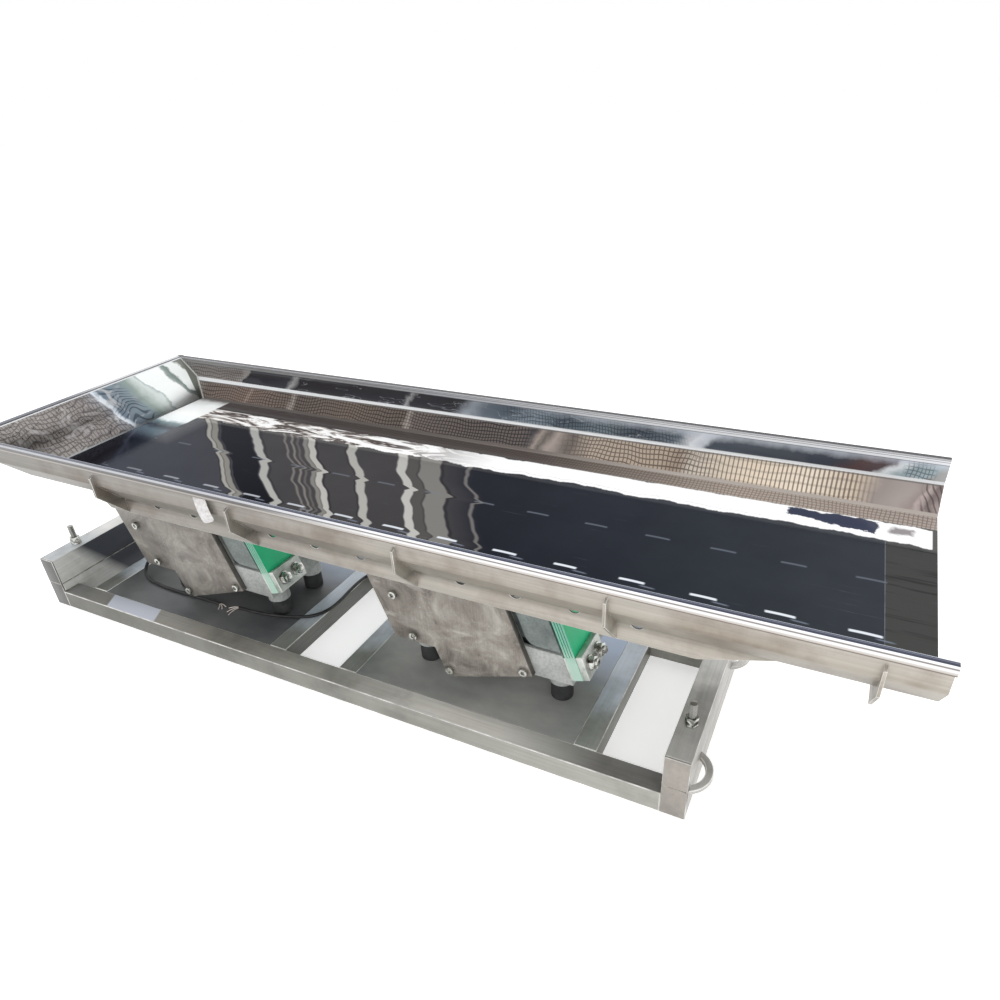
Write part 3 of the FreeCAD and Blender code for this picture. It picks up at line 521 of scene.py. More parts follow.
# The inner faces of the left tubes stand in the dark of the trough, but for their front ends
shader, x, y, z = reopened(tube_steel)
shade = along(facing(shader, 0), *TURNED) * along(x, -0.70, -0.75) * along(y + z * 0.8, -0.055, -0.02)
paint(shader, over(painted(shader), shade, (74, 76, 84)))

for level in ("lower", "upper"):
    for end in ("left", "right"):
        node = "%s_end_tube_%s" % (level, end)
        dressed(node, "base", "brushed_stainless", tube_steel, bright_edge, edge=0.0018, steps=3)
dressed("cross_bars", "base", "brushed_stainless", bar_steel, bright_edge, edge=0.0016, steps=3)
dressed("tube_end_caps", "base", "brushed_stainless", cap_steel, bright_edge, edge=0.0009)
dressed("lifting_lugs", "base", "brushed_stainless", tube_steel, bright_edge, edge=0.0015, steps=3)


def within(value, low, high, soft):
    """One between two values and zero outside them, with soft edges."""
    return along(value, low - soft, low + soft) * along(value, high + soft, high - soft)


# Rails, with a pale bluish stretch on the front one's top, its ends slanted across the rail
PALE_FROM, PALE_TO, RAIL_Y = -0.684, -0.540, -0.175
shader, x, y, z = reopened(rail_steel)
stretch = within(x + (y - RAIL_Y) * 0.5, PALE_FROM, PALE_TO, 0.002)
patch = stretch * along(facing(shader, 2), *TURNED) * calc("LESS_THAN", y, 0)
paint(shader, over(painted(shader), patch, (204, 209, 222)))
for node in ("front_rail", "rear_rail"):
    dressed(node, "base", "brushed_stainless", rail_steel, bright_edge, edge=0.0022, steps=3)

# Plates under the drives, of plain rolled steel with soft mirror patches, darker in the left bay, and a
# painted bluish reflection towards the rear
plate_steel, shader, place = new_finish("rolled_plate", metallic=0.2)
x, y, z = split(place)
patches = clouds(stretched(place, (1, 1.6, 1)), 5, detail=5)
near_tones = tones(patches, (0.3, (120, 123, 125)), (0.5, (148, 149, 147)), (0.72, (174, 174, 170)))
left_bay = tones_from(x, (-0.3, (176, 177, 181)), (0.0, CLEAR))
# Painted reflection: pale blue towards the rear
sheen = along(y + x * 0.12 + patches * 0.05, 0.04, 0.17)
paint(shader, over(tinted(near_tones, left_bay), sheen, (174, 188, 210)))
rubbed(shader, patches, 0.24, 0.42)
for node in ("drive_plate_left", "drive_plate_right"):
    dressed(node, "base", "plate_steel", plate_steel, edge=0.0008)


def lines(place, axis, period, distortion=0.0):
    """Parallel lines square to an axis, with a distance between them, from 0 to 1."""
    inputs = {"Vector": place, "Scale": math.pi / (10 * period), "Distortion": distortion, "Detail": 2}
    return new_pattern("TexWave", inputs, "Fac", bands_direction=axis)


def lined_finish(name, axis, period, dark, light, roughness, bumps, metallic=0.0, distortion=0.0):
    """A finish of fine parallel lines, dark in their grooves."""
    material, shader, place = new_finish(name, metallic, roughness)
    grooves = lines(place, axis, period, distortion)
    paint(shader, tones(grooves, (0.2, dark), (0.8, light)))
    relief(shader, grooves, bumps)
    return material


# Studs with their nuts, bright zinc with grime in the threads, and the turns on each free end
THREAD_PITCH, THREAD_RADIUS, THREAD_WIRE, TURN_POINTS = 0.00175, 0.00565, 0.00045, 16
STUD_RADIUS, THREAD_FOOT, THREAD_SHORT = 0.006, 0.0008, 0.0025
zinc = worn_finish(
    "bright_zinc",
    110,
    (0.36, (112, 108, 100)),
    (0.5, (196, 197, 192)),
    (0.7, (228, 230, 226)),
    detail=5,
    metallic=0.95,
    gloss=(0.14, 0.34),
)
thread = lined_finish(
    "threaded_zinc", "Z", THREAD_PITCH, (96, 94, 90), (208, 208, 203), 0.3, 0.6, metallic=0.95
)
dressed("anchor_studs", "base", "bright_fasteners", thread, edge=0.0006)
dressed("anchor_nuts", "base", "bright_fasteners", zinc, edge=0.0007, steps=3, sharp=40)
stud_low, stud_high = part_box("anchor_studs")
nuts_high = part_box("anchor_nuts")[1]
climb = stud_high.z - nuts_high.z - THREAD_SHORT
steps = int(TURN_POINTS * climb / THREAD_PITCH)
for end, middle in (("left", stud_low.x + STUD_RADIUS), ("right", stud_high.x - STUD_RADIUS)):
    helix = []
    for number in range(steps + 1):
        angle = 2 * math.pi * number / TURN_POINTS
        out, aside = THREAD_RADIUS * math.cos(angle), THREAD_RADIUS * math.sin(angle)
        height = nuts_high.z + THREAD_FOOT + climb * number / steps
        helix.append((middle + out, stud_low.y + STUD_RADIUS + aside, height))
    turns = round_wire("stud_thread_" + end, zinc, THREAD_WIRE, helix, kind="POLY", sides=1)
    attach(turns, "base")

# Weld seams
# Each is a low rippled bead that lies in the corner between two pieces.
RIPPLE, BEAD, THIN_BEAD = 0.002, 0.0018, 0.0012
weld_metal = worn_finish(
    "weld_metal",
    70,
    (0.35, (116, 108, 98)),
    (0.55, (176, 172, 164)),
    (0.75, (214, 211, 204)),
    detail=5,
    metallic=0.85,
    gloss=(0.25, 0.45),
    bumps=0.2,
)


def weld_bead(name, start, end, radius=BEAD):
    """A straight weld on the frame from one end to the other, with even ripples."""
    run = Vector(end) - Vector(start)
    ripples = max(6, int(run.length / RIPPLE))
    stops = [Vector(start) + run * number / ripples for number in range(ripples + 1)]
    bead = round_wire(name, weld_metal, radius, stops, kind="POLY")
    for number, point in enumerate(bead.data.splines[0].points):
        point.radius = 1 if number % 2 else 0.72
    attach(bead, "base")


rail_low, rail_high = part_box("front_rail")
cap_low, cap_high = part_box("tube_end_caps")
# How far the beads lie off a face, and how far they stop short of a rounded corner
SEAM, CAP_IN, TUBE_CORNER, RAIL_CORNER = 0.0005, 0.001, 0.002, 0.003
for end in ("right", "left"):
    low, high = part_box("lower_end_tube_" + end)
    inner = low.x - SEAM if end == "right" else high.x + SEAM
    for face, y in (("front", cap_low.y + CAP_IN), ("rear", cap_high.y - CAP_IN)):
        start, stop = (low.x + TUBE_CORNER, y, high.z), (high.x - TUBE_CORNER, y, high.z)
        weld_bead("seam_%s_%s" % (face, end), start, stop)
    weld_bead("seam_inner_" + end, (inner, low.y, high.z), (inner, high.y, high.z), THIN_BEAD)
    for rail, y0, y1 in (("front", rail_low.y, rail_high.y), ("rear", -rail_high.y, -rail_low.y)):
        start, stop = (inner, y0 + RAIL_CORNER, rail_high.z), (inner, y1 - RAIL_CORNER, rail_high.z)
        weld_bead("rail_joint_%s_%s" % (rail, end), start, stop)

# Drives
# Two equal electromagnetic drives. Their castings are painted grey, the side plates are milled and
# mottled with handling, and the leaf springs are green laminate whose cut edges show pale layers.
milled, shader, place = new_finish("milled_side_plate", metallic=0.15)
x, y, z = split(place)
patches = clouds(place, 15, detail=9, rough=0.68, distortion=0.5)
streaks = clouds(stretched(place, (420, 1, 9)), 1, detail=3)
specks = clouds(place, 260, detail=3)
mottle = tones(
    patches,
    (0.30, (98, 92, 86)),
    (0.42, (140, 133, 125)),
    (0.54, (166, 160, 152)),
    (0.70, (202, 199, 190)),
)
scored = tones(streaks, (0.32, (206, 204, 200)), (0.62, CLEAR))
base = tinted(mottle, scored, 0.4)
swirls = clouds(place, 16, detail=4, distortion=1.6)
scratched = within(swirls, 0.494, 0.502, 0.003) * along(patches, 0.6, 0.45)
base = over(base, scratched, (104, 98, 92), 0.5)
pale_streaks = along(clouds(stretched(place, (14, 1, 50)), 1, detail=6), 0.60, 0.72)
base = over(base, pale_streaks, (220, 217, 208), 0.5)
# Darker towards the bottom, in patches
darker_low = along(z, 0.150, 0.085) * along(patches, 0.60, 0.42)
base = over(base, darker_low, (74, 70, 68), 0.55)
base = over(base, along(specks, 0.66, 0.72), (214, 211, 202), 0.5)
# Painted shade: the plates of the left drive darker
base = over(base, along(x, -0.1, -0.5), (92, 90, 88), 0.28)
rubbed(shader, patches, 0.5, 0.34)
relief(shader, streaks, 0.25)

# Grime rings round the screws of the side plates
SCREWS = [(-0.1553, 0.2205), (-0.1225, 0.1399), (-0.0535, 0.0826), (0.0924, 0.1290)]
DRIVE_LEFT, DRIVE_RIGHT, BETWEEN_DRIVES = -0.4355, 0.2035, -0.15
aside = calc("GREATER_THAN", x, BETWEEN_DRIVES) * (DRIVE_RIGHT - DRIVE_LEFT)
for screw_x, screw_z in SCREWS:
    off_x, off_z = x - DRIVE_LEFT - aside - screw_x, z - screw_z
    away = calc("SQRT", calc("POWER", off_x, 2) + calc("POWER", off_z, 2))
    base = over(base, along(away + (patches - 0.5) * 0.02, 0.015, 0.008), (84, 79, 74), 0.6)
paint(shader, base)

FLANK_TURN = 0.35
FLANK_TONES = (0.3, (74, 72, 69)), (0.7, (112, 108, 103))
flank = worn_finish("shaded_plate_flank", 60, *FLANK_TONES, metallic=0.3, gloss=(0.45, 0.6))


def casting_finish(name, dark, middle, light):
    """Painted cast iron: cloudy tones over a pebbled skin, darker in its hollows."""
    material, shader, place = new_finish(name, metallic=0.1)
    cloudy = clouds(place, 13, detail=8, rough=0.65)
    skin = clouds(place, 190, detail=3)
    base = tones(cloudy, (0.32, dark), (0.5, middle), (0.7, light))
    pebbled = tones(skin, (0.3, (214, 214, 212)), (0.6, CLEAR))
    paint(shader, tinted(base, pebbled, 0.8))
    rubbed(shader, cloudy, 0.42, 0.62)
    relief(shader, skin, 0.35)
    return material


lower_paint = casting_finish("grey_base_casting", (156, 159, 156), (184, 187, 185), (208, 210, 207))
upper_paint = casting_finish("cool_head_casting", (112, 121, 120), (138, 147, 145), (162, 170, 167))

laminate, shader, place = new_finish("green_spring_laminate")
x, y, z = split(place)
THROW_X, THROW_Z, HALF_PLY = 0.94264, 0.33381, 0.0006
plies = along(calc("PINGPONG", x * THROW_X + z * THROW_Z, HALF_PLY), 0.0, HALF_PLY)
weave = clouds(place, 120, detail=4)
smears = clouds(place, 12, detail=6)
green = tones(smears, (0.3, (30, 190, 126)), (0.55, (40, 208, 146)), (0.75, (72, 222, 168)))
pale_high = tones(plies, (0.2, (104, 172, 150)), (0.8, (148, 204, 186)))
pale_low = tones(plies, (0.2, (170, 208, 192)), (0.8, (204, 230, 217)))
pale = mixed(along(z, 0.20, 0.165), pale_high, pale_low)
cut_edge = along(calc("ABSOLUTE", facing(shader, 1)), 0.6, 0.8)
paint(shader, mixed(cut_edge, green, pale))
rubbed(shader, weave, 0.28, 0.44)
relief(shader, weave, 0.08)

RUBBER_TONES = (0.35, (34, 35, 35)), (0.6, (56, 58, 57)), (0.8, (88, 88, 84))
rubber = worn_finish("black_rubber", 46, *RUBBER_TONES, gloss=(0.5, 0.75), bumps=0.2)
CLAMP_TONES = (0.34, (158, 163, 157)), (0.52, (202, 208, 202)), (0.7, (228, 230, 225))
clamp_steel = worn_finish(
    "clamp_steel", 34, *CLAMP_TONES, detail=7, metallic=0.35, gloss=(0.28, 0.46), bumps=0.1
)
laminated_core = lined_finish(
    "laminated_core", "Y", 0.0011, (40, 38, 36), (96, 92, 88), 0.5, 0.3, metallic=0.6
)
winding = lined_finish(
    "varnished_winding", "DIAGONAL", 0.006, (52, 36, 24), (96, 70, 46), 0.4, 0.3, distortion=0.4
)
moulded = lined_finish("moulded_black_plastic", "X", 0.002, (20, 20, 21), (40, 40, 42), 0.45, 0.3)


def refinish(finish, *nodes):
    """Give CAD nodes that stay as they are their finish."""
    for node in nodes:
        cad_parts[node].data.materials.clear()
        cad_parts[node].data.materials.append(finish)


for side in ("left", "right"):
    dressed("base_casting_" + side, "base", "light_casting", lower_paint, edge=0.0025, steps=3)
    for face in ("front", "rear"):
        node = "side_plate_%s_%s" % (face, side)
        plate = dressed(node, "base", "grey_casting", milled, edge=0.0012)
        plate.data.materials.append(flank)
        for polygon in plate.data.polygons:
            if polygon.normal.x > FLANK_TURN:
                polygon.material_index = 1
    dressed("side_plate_screws_" + side, "base", "bright_fasteners", zinc, edge=0.0009, steps=3, sharp=60)
    dressed("upper_casting_" + side, "tray", "cool_casting", upper_paint, edge=0.0025, steps=3)
    dressed("rubber_feet_" + side, "base", "black_rubber", rubber, edge=0.0022, steps=3)
    refinish(laminate, "front_springs_" + side, "rear_springs_" + side)
    for level, body in (("lower", "base"), ("upper", "tray")):
        bars, bolts = "%s_clamp_bars_%s" % (level, side), "%s_clamp_bolts_%s" % (level, side)
        dressed(bars, body, "brushed_stainless", clamp_steel, bright_edge, edge=0.0012)
        dressed(bolts, body, "bright_fasteners", zinc, edge=0.0007, sharp=40)
    dressed("magnet_core_" + side, "base", "core_steel", laminated_core, edge=0.0006)
    dressed("armature_" + side, "tray", "core_steel", laminated_core, edge=0.0006)
    dressed("magnet_coil_" + side, "base", "coil_wrap", winding, edge=0.003, steps=3)
    dressed("cable_gland_" + side, "base", "black_plastic", moulded, edge=0.0006)
    dressed("drive_bracket_" + side, "tray", "folded_stainless", clamp_steel, edge=0.0008)

# Trough
# Folded from 2 mm stainless sheet. Its outside is satin, warm and a little stained, with painted light
# and shade falling along its height. Its inside is polished to a mirror, and the reflections in that
# mirror are painted into its colour: bars of light over a dark floor, a brick lattice on the lower
# panels, and bright dashes over the stitch welds underneath.
RIM_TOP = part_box("trough_pan")[1].z
FLOOR_TOP = RIM_TOP - 0.082
FOLD = RIM_TOP - 0.043
WALL = 0.253
FOLD_FALL = -0.0044
END_FOOT, END_LEAN = -0.6945, 0.988
# A painted highlight along the rolled folds of the inner panels
ROLL_HIGHLIGHT = (232, 234, 236)

satin, shader, place = new_finish("satin_sheet", metallic=0.25)
x, y, z = split(place)
stains = clouds(place, 7, detail=8, rough=0.62)
brush = clouds(stretched(place, (4, 240, 240)), 1, detail=4)
fall_of_light = tones_from(
    z + stains * 0.008,
    (0.325, (194, 190, 182)),
    (0.350, (212, 207, 200)),
    (0.366, (156, 153, 145)),
    (0.376, (176, 172, 163)),
    (0.408, (188, 182, 173)),
    (0.420, (204, 199, 192)),
    (0.436, (208, 204, 199)),
)
from_left = tones_from(
    x,
    (-0.80, (184, 184, 186)),
    (-0.45, (204, 203, 202)),
    (-0.10, (206, 204, 202)),
    (0.12, (230, 228, 225)),
    (0.85, (248, 245, 240)),
)
base = tinted(fall_of_light, from_left)
stained = tones(stains, (0.34, (196, 186, 176)), (0.52, CLEAR), (0.75, (244, 250, 244)))
brushed = tones(brush, (0.3, (214, 212, 210)), (0.65, CLEAR))
paint(shader, tinted(tinted(base, stained, 0.75), brushed, 0.6))
rubbed(shader, brush, 0.28, 0.46)
relief(shader, brush, 0.1)


def mirror_finish(name):
    """A smooth finish whose colour carries its reflections."""
    material, shader, place = new_finish(name, roughness=0.12)
    shader.inputs["Specular IOR Level"].default_value = 0.2
    return material, shader, place


def warped(place, scale, reach):
    """The place pushed about by soft noise."""
    noise = new_pattern("TexNoise", {"Vector": place, "Scale": scale, "Detail": 1}, "Color")
    inputs = {0: noise, 1: (reach, reach, reach), 2: place}
    return new_pattern("VectorMath", inputs, operation="MULTIPLY_ADD")


# A joint of a lattice fades in between these two levels of its lines
JOINT = 0.26, 0.06


def lattice(place, axis, other_axis, period, other_period):
    """A grid of thin joints, one where a joint runs."""
    upright = along(lines(place, axis, period), *JOINT)
    level = along(lines(place, other_axis, other_period), *JOINT)
    return calc("MAXIMUM", upright, level)


# Painted reflections: bars of light on the floor. They fan out from the point under the camera, in front
# of the trough. Lean is the run along X for each step along Y away from that point.
FAN_X, FAN_Y = 0.7101, -0.9525
LIGHT_BARS = [
    (-1.213, -1.176, (36, 36, 40)),
    (-1.209, -1.198, (172, 170, 163)),
    (-1.196, -1.180, (146, 143, 136)),
    (-1.172, -1.094, (6, 10, 18)),
    (-1.090, -1.068, (182, 182, 178)),
    (-1.064, -1.060, (52, 50, 52)),
    (-1.004, -0.998, (126, 122, 118)),
    (-0.986, -0.980, (132, 128, 124)),
    (-0.972, -0.966, (104, 100, 98)),
    (-0.955, -0.944, (138, 135, 130)),
    (-0.942, -0.925, (194, 192, 186)),
    (-0.924, -0.919, (48, 46, 49)),
    (-0.850, -0.846, (52, 50, 53)),
    (-0.845, -0.824, (182, 181, 175)),
    (-0.732, -0.712, (196, 195, 190)),
    (-0.710, -0.688, (88, 86, 83)),
    (-0.684, -0.640, (132, 130, 126)),
    (-0.638, -0.632, (50, 48, 51)),
    (-0.587, -0.580, (118, 116, 114)),
]
STRIP_NEAR, STRIP_FAR = 0.119, 0.175
PLAIN_SKY = (254, 254, 254)
POOL_LEFT, POOL_RIGHT, POOL_NEAR, POOL_FAR = 0.640, 0.772, 0.10, 0.171
BAR_SOFT = 0.0022

# The rows of stitch welds under the floor: the two stiffeners that show, and the near one's double
BRIGHT_ROW, FAINT_ROW, ECHO_ROW = (-0.1295, -0.1245), (-0.0022, 0.0022), (-0.1350, -0.1320)
DASH_PITCH, HALF_DASH, DASH_AT, ECHO_SHIFT = 0.0995, 0.019, 0.772, 0.024
SWAY_TURNS, SWAY = 63.1, 0.0009

mirror_floor, shader, place = mirror_finish("mirror_floor")
x, y, z = split(place)
shader.inputs["Specular Tint"].default_value = (0.62, 0.62, 0.64, 1)
ripple = clouds(stretched(place, (3, 15, 1)), 1, detail=1.5) - 0.5
kinks = calc("MAXIMUM", within(y, -0.004, 0.003, 0.005), within(y, -0.131, -0.124, 0.006))
lean = (x - FAN_X) / (y - FAN_Y) + ripple * 0.055 + kinks * -0.018
haze = clouds(place, 6, detail=6)
base = tones_from(
    lean + haze * 0.02,
    (-1.60, (70, 73, 84)),
    (-1.22, (68, 70, 76)),
    (-1.00, (74, 72, 72)),
    (-0.64, (72, 70, 71)),
    (-0.60, (60, 60, 64)),
    (-0.56, (36, 39, 47)),
    (-0.30, (46, 50, 58)),
    (-0.05, (55, 60, 66)),
    (0.19, (64, 68, 74)),
)
base = tinted(base, tones(haze, (0.35, (206, 206, 210)), (0.65, CLEAR)), 0.5)
for low, high, colour in LIGHT_BARS:
    base = over(base, within(lean, low, high, BAR_SOFT), colour)
# Past the outlet's edge the painted reflection is plain dark, with a painted pale bluish glint along the
# edge and dark streaks
outlet = along(x + y * 0.0444, 0.7885, 0.7895)
base = over(base, outlet, (74, 75, 73))
crease = within(outlet, 0.05, 0.95, 0.05) * along(haze, 0.46, 0.56)
base = over(base, crease, (176, 184, 200), 0.35)
dark_lines = clouds(stretched(place, (6, 90, 1)), 1, detail=3)
base = over(base, outlet * along(dark_lines, 0.42, 0.32), (44, 44, 42), 0.6)

# Hairline scratches, and rows of bright dashes in the painted reflection over the stitch welds on the
# stiffeners
scratch = clouds(stretched(place, (9, 420, 1)), 1, detail=3, distortion=0.3)
base = over(base, along(scratch, 0.69, 0.76), (138, 142, 150), 0.35)
near_dash = calc("PINGPONG", x - DASH_AT, DASH_PITCH / 2)
uneven = clouds(place, 11, detail=2) * 0.016
dash = along(near_dash - uneven, HALF_DASH - 0.007, HALF_DASH - 0.010)
slant = y + calc("SINE", x * SWAY_TURNS) * SWAY
bright_row = within(slant, *BRIGHT_ROW, 0.0008) * dash * along(x, -0.75, 0.15)
base = over(base, bright_row, (238, 244, 252))
base = over(base, within(slant, *FAINT_ROW, 0.0010) * dash, (124, 132, 144), 0.55)
near_echo = calc("PINGPONG", x - (DASH_AT + ECHO_SHIFT), DASH_PITCH / 2)
echo = along(near_echo, HALF_DASH - 0.006, HALF_DASH - 0.012)
base = over(base, within(slant, *ECHO_ROW, 0.0008) * echo, (150, 160, 178), 0.5)

# The painted reflection of the sky as a strip along the rear, ragged at its edges, and the reflected
# lattice between it and the wall
ragged = clouds(stretched(place, (22, 3, 1)), 1, detail=4) - 0.5
reach = y + ragged * 0.030
splash = clouds(stretched(place, (7, 34, 1)), 1, detail=4, distortion=1.4)
sky = tones(
    splash,
    (0.44, PLAIN_SKY),
    (0.49, (186, 180, 176)),
    (0.54, (84, 76, 74)),
    (0.60, (96, 88, 86)),
    (0.64, (240, 238, 236)),
)
sky = mixed(along(x, 0.12, -0.10), tone(*PLAIN_SKY), sky)
strip = within(reach, STRIP_NEAR, STRIP_FAR, 0.0016) * along(x, 0.8465, 0.8450)
base = mixed(strip, base, sky)
shore = (clouds(place, 40, detail=4) - 0.5) * 0.03
pool_x, pool_y = x + shore, y + shore
taper = along(pool_y + (pool_x - POOL_RIGHT) * 0.14, 0.1305, 0.1325)
pool = within(pool_x, POOL_LEFT, POOL_RIGHT, 0.002) * within(pool_y, POOL_NEAR, POOL_FAR, 0.0015)
base = over(base, pool * taper, (60, 65, 84))
blot = within(pool_x, 0.792, 0.822, 0.004) * within(pool_y, 0.142, 0.163, 0.004)
base = over(base, blot, (150, 144, 146))
grey_line = within(reach + shore * 0.4, 0.128, 0.1292, 0.0006) * within(x, 0.10, 0.62, 0.02)
base = over(base, grey_line, (150, 150, 154), 0.5)
side_share = calc("ABSOLUTE", y)
pushed = warped(place, 14, 0.012)
courses = lattice(pushed, "X", "Y", 0.0062, 0.0090)
bricks = tones_from(
    x,
    (-0.60, (72, 68, 68)),
    (-0.05, (80, 74, 72)),
    (0.20, (88, 80, 76)),
    (0.40, (136, 126, 118)),
    (0.55, (168, 156, 146)),
    (0.85, (168, 156, 148)),
)
bricks = over(bricks, courses, (58, 52, 50), 0.5)
seam_share = along(side_share, 0.2145, 0.2165) * along(x, -0.30, 0.40)
bricks = over(bricks, seam_share, (170, 162, 154), 0.75)
base = mixed(along(side_share, STRIP_FAR - 0.001, STRIP_FAR + 0.001), base, bricks)

# The end wall's image on the floor: pale at the rear, dark at the front
end_image = tones_from(
    y + (haze - 0.5) * 0.10,
    (-0.22, (44, 46, 60)),
    (0.00, (56, 60, 74)),
    (0.03, (88, 104, 116)),
    (0.05, (46, 50, 64)),
    (0.075, (122, 142, 148)),
    (0.09, (240, 247, 248)),
    (0.13, (254, 255, 255)),
    (0.18, (244, 248, 248)),
    (0.205, (214, 217, 216)),
    (0.22, (120, 118, 116)),
)
paint(shader, mixed(along(x + ripple * 0.02, -0.606, -0.610), base, end_image))
not_end = calc("MAXIMUM", along(x, -0.60, -0.55), along(y, 0.02, -0.02))
feed(shader.inputs["Metallic"], along(y, 0.112, 0.104) * not_end)


def end_seam(base, x, z):
    """A bright line where the end wall meets a side panel."""
    foot = x + (z - FLOOR_TOP) * END_LEAN
    return over(base, along(foot, END_FOOT + 0.0036, END_FOOT + 0.0022), (204, 204, 201), 0.9)


# Upper panels: a painted reflection in slate, with a painted highlight on the rolled edge at the rim and
# on the fold, and splashes of light
mirror_upper, shader, place = mirror_finish("mirror_upper_panel")
x, y, z = split(place)
pushed = warped(place, 15, 0.030)
wander = (clouds(place, 30, detail=4) - 0.5) * 0.045
base = tones_from(
    x + wander + (z - 0.425) * -0.9,
    (-0.75, (158, 153, 149)),
    (-0.60, (156, 148, 144)),
    (-0.573, (176, 172, 168)),
    (-0.568, (58, 58, 64)),
    (-0.445, (74, 74, 80)),
    (-0.437, (196, 196, 197)),
    (-0.428, (150, 150, 152)),
    (-0.420, (64, 62, 66)),
    (-0.135, (72, 72, 78)),
    (-0.126, (196, 196, 198)),
    (-0.117, (72, 72, 78)),
    (-0.01, (66, 66, 70)),
    (0.02, (176, 184, 194)),
    (0.05, (120, 130, 142)),
    (0.10, (104, 116, 128)),
    (0.16, (150, 164, 176)),
    (0.22, (94, 106, 118)),
    (0.30, (128, 142, 150)),
    (0.36, (84, 94, 104)),
    (0.44, (120, 132, 142)),
    (0.470, (236, 240, 246)),
    (0.492, (210, 216, 226)),
    (0.505, (84, 92, 102)),
    (0.60, (72, 78, 88)),
    (0.70, (66, 70, 80)),
    (0.730, (92, 72, 72)),
    (0.768, (88, 76, 80)),
    (0.782, (232, 236, 240)),
    (0.800, (150, 168, 174)),
    (0.836, (168, 184, 190)),
    (0.842, (166, 168, 168)),
    (0.86, (178, 178, 176)),
)
joints = lattice(pushed, "X", "Z", 0.0062, 0.0068)
joints_share = calc("MAXIMUM", along(x, -0.575, -0.585), within(x, 0.10, 0.44, 0.02))
joints_share = calc("MAXIMUM", joints_share, within(x, 0.795, 0.836, 0.005))
base = over(base, joints * joints_share, (52, 52, 58), 0.6)
scribble = clouds(stretched(place, (9, 9, 60)), 1, detail=2, distortion=0.8)
hair = within(scribble, 0.560, 0.572, 0.006) * within(x, -0.42, 0.44, 0.02)
base = over(base, hair * calc("GREATER_THAN", y, 0), (208, 214, 222), 0.5)
sheen = along(z + wander * 0.35, 0.424, 0.440) * along(x, 0.12, 0.30)
base = over(base, sheen, (212, 219, 230), 0.85)
base = over(base, within(z + x * FOLD_FALL, 0.4012, 0.4062, 0.0005), ROLL_HIGHLIGHT)
hem_glow = tones_from(
    x,
    (-0.75, (172, 169, 166)),
    (-0.30, (190, 190, 192)),
    (0.05, (214, 217, 222)),
    (0.40, (240, 242, 246)),
)
base = mixed(along(z, RIM_TOP - 0.0105, RIM_TOP - 0.0095), base, hem_glow)
base = over(base, within(z, RIM_TOP - 0.0112, RIM_TOP - 0.0102, 0.0004), (104, 108, 116), 0.8)
base = over(base, within(z, RIM_TOP - 0.0062, RIM_TOP - 0.0052, 0.0004), (112, 115, 122), 0.7)
paint(shader, end_seam(base, x, z))

# Lower panels: a painted reflection of a warm lattice, darker and finer to the left, with a painted
# highlight on the fold
mirror_lower, shader, place = mirror_finish("mirror_lower_panel")
x, y, z = split(place)
wander = (clouds(place, 26, detail=4) - 0.5) * 0.04
base = tones_from(
    x + wander + (z - 0.386) * -0.35,
    (-0.72, (124, 120, 114)),
    (-0.69, (88, 78, 73)),
    (-0.565, (108, 91, 83)),
    (-0.560, (150, 132, 122)),
    (-0.552, (104, 88, 81)),
    (-0.440, (84, 74, 69)),
    (-0.434, (164, 156, 150)),
    (-0.422, (110, 104, 100)),
    (-0.415, (66, 60, 58)),
    (-0.28, (92, 82, 74)),
    (-0.135, (66, 60, 57)),
    (-0.126, (164, 156, 150)),
    (-0.112, (84, 79, 78)),
    (0.02, (58, 56, 59)),
    (0.155, (62, 60, 65)),
    (0.170, (158, 146, 138)),
    (0.182, (96, 90, 86)),
    (0.200, (166, 154, 146)),
    (0.235, (104, 96, 92)),
    (0.28, (176, 162, 148)),
    (0.41, (176, 160, 144)),
    (0.44, (150, 134, 120)),
    (0.465, (196, 186, 174)),
    (0.56, (226, 210, 190)),
    (0.66, (236, 222, 204)),
    (0.73, (206, 190, 172)),
    (0.762, (150, 140, 136)),
    (0.80, (164, 154, 150)),
    (0.822, (150, 138, 134)),
    (0.830, (186, 172, 168)),
    (0.842, (104, 92, 90)),
    (0.8525, (158, 146, 142)),
)
curved = warped(place, 11, 0.030)
grid = lattice(curved, "X", "Z", 0.0074, 0.0066)
stroke = lines(warped(place, 7, 0.010), "X", 0.0072)
bars = along(stroke - along(x, 0.58, 0.72) * 0.22, 0.30, 0.06)
dots = along(lines(curved, "Z", 0.011), 0.30, 0.02) * 0.28
bars_share = within(x, 0.47, 0.745, 0.02)
base = over(base, grid * within(x, 0.24, 0.49, 0.03), (66, 54, 48), 0.75)
base = over(base, bars * bars_share, (84, 70, 62), 0.75)
base = over(base, dots * bars_share, (70, 58, 52))
fine = lattice(curved, "X", "Z", 0.0068, 0.0058)
fine_share = along(x, 0.16, 0.14)
base = over(base, (1.0 - fine) * (fine_share * 0.22), (176, 156, 142))
base = over(base, fine * fine_share, (34, 28, 28), 0.55)
swept = along(lines(warped(place, 18, 0.05), "X", 0.0080), 0.36, 0.08)
base = over(base, swept * along(x, 0.822, 0.830), (72, 62, 62), 0.7)
roll = z + x * FOLD_FALL
base = over(base, within(roll, 0.3990, 0.4010, 0.0005), (112, 108, 106), 0.8)
base = over(base, along(roll, 0.4008, 0.4016), ROLL_HIGHLIGHT)
foot_line = tones_from(x, (-0.20, (92, 86, 82)), (0.15, (108, 100, 95)), (0.45, (174, 166, 159)))
base = mixed(along(z, FLOOR_TOP + 0.0042, FLOOR_TOP + 0.0034), base, foot_line)
paint(shader, end_seam(base, x, z))
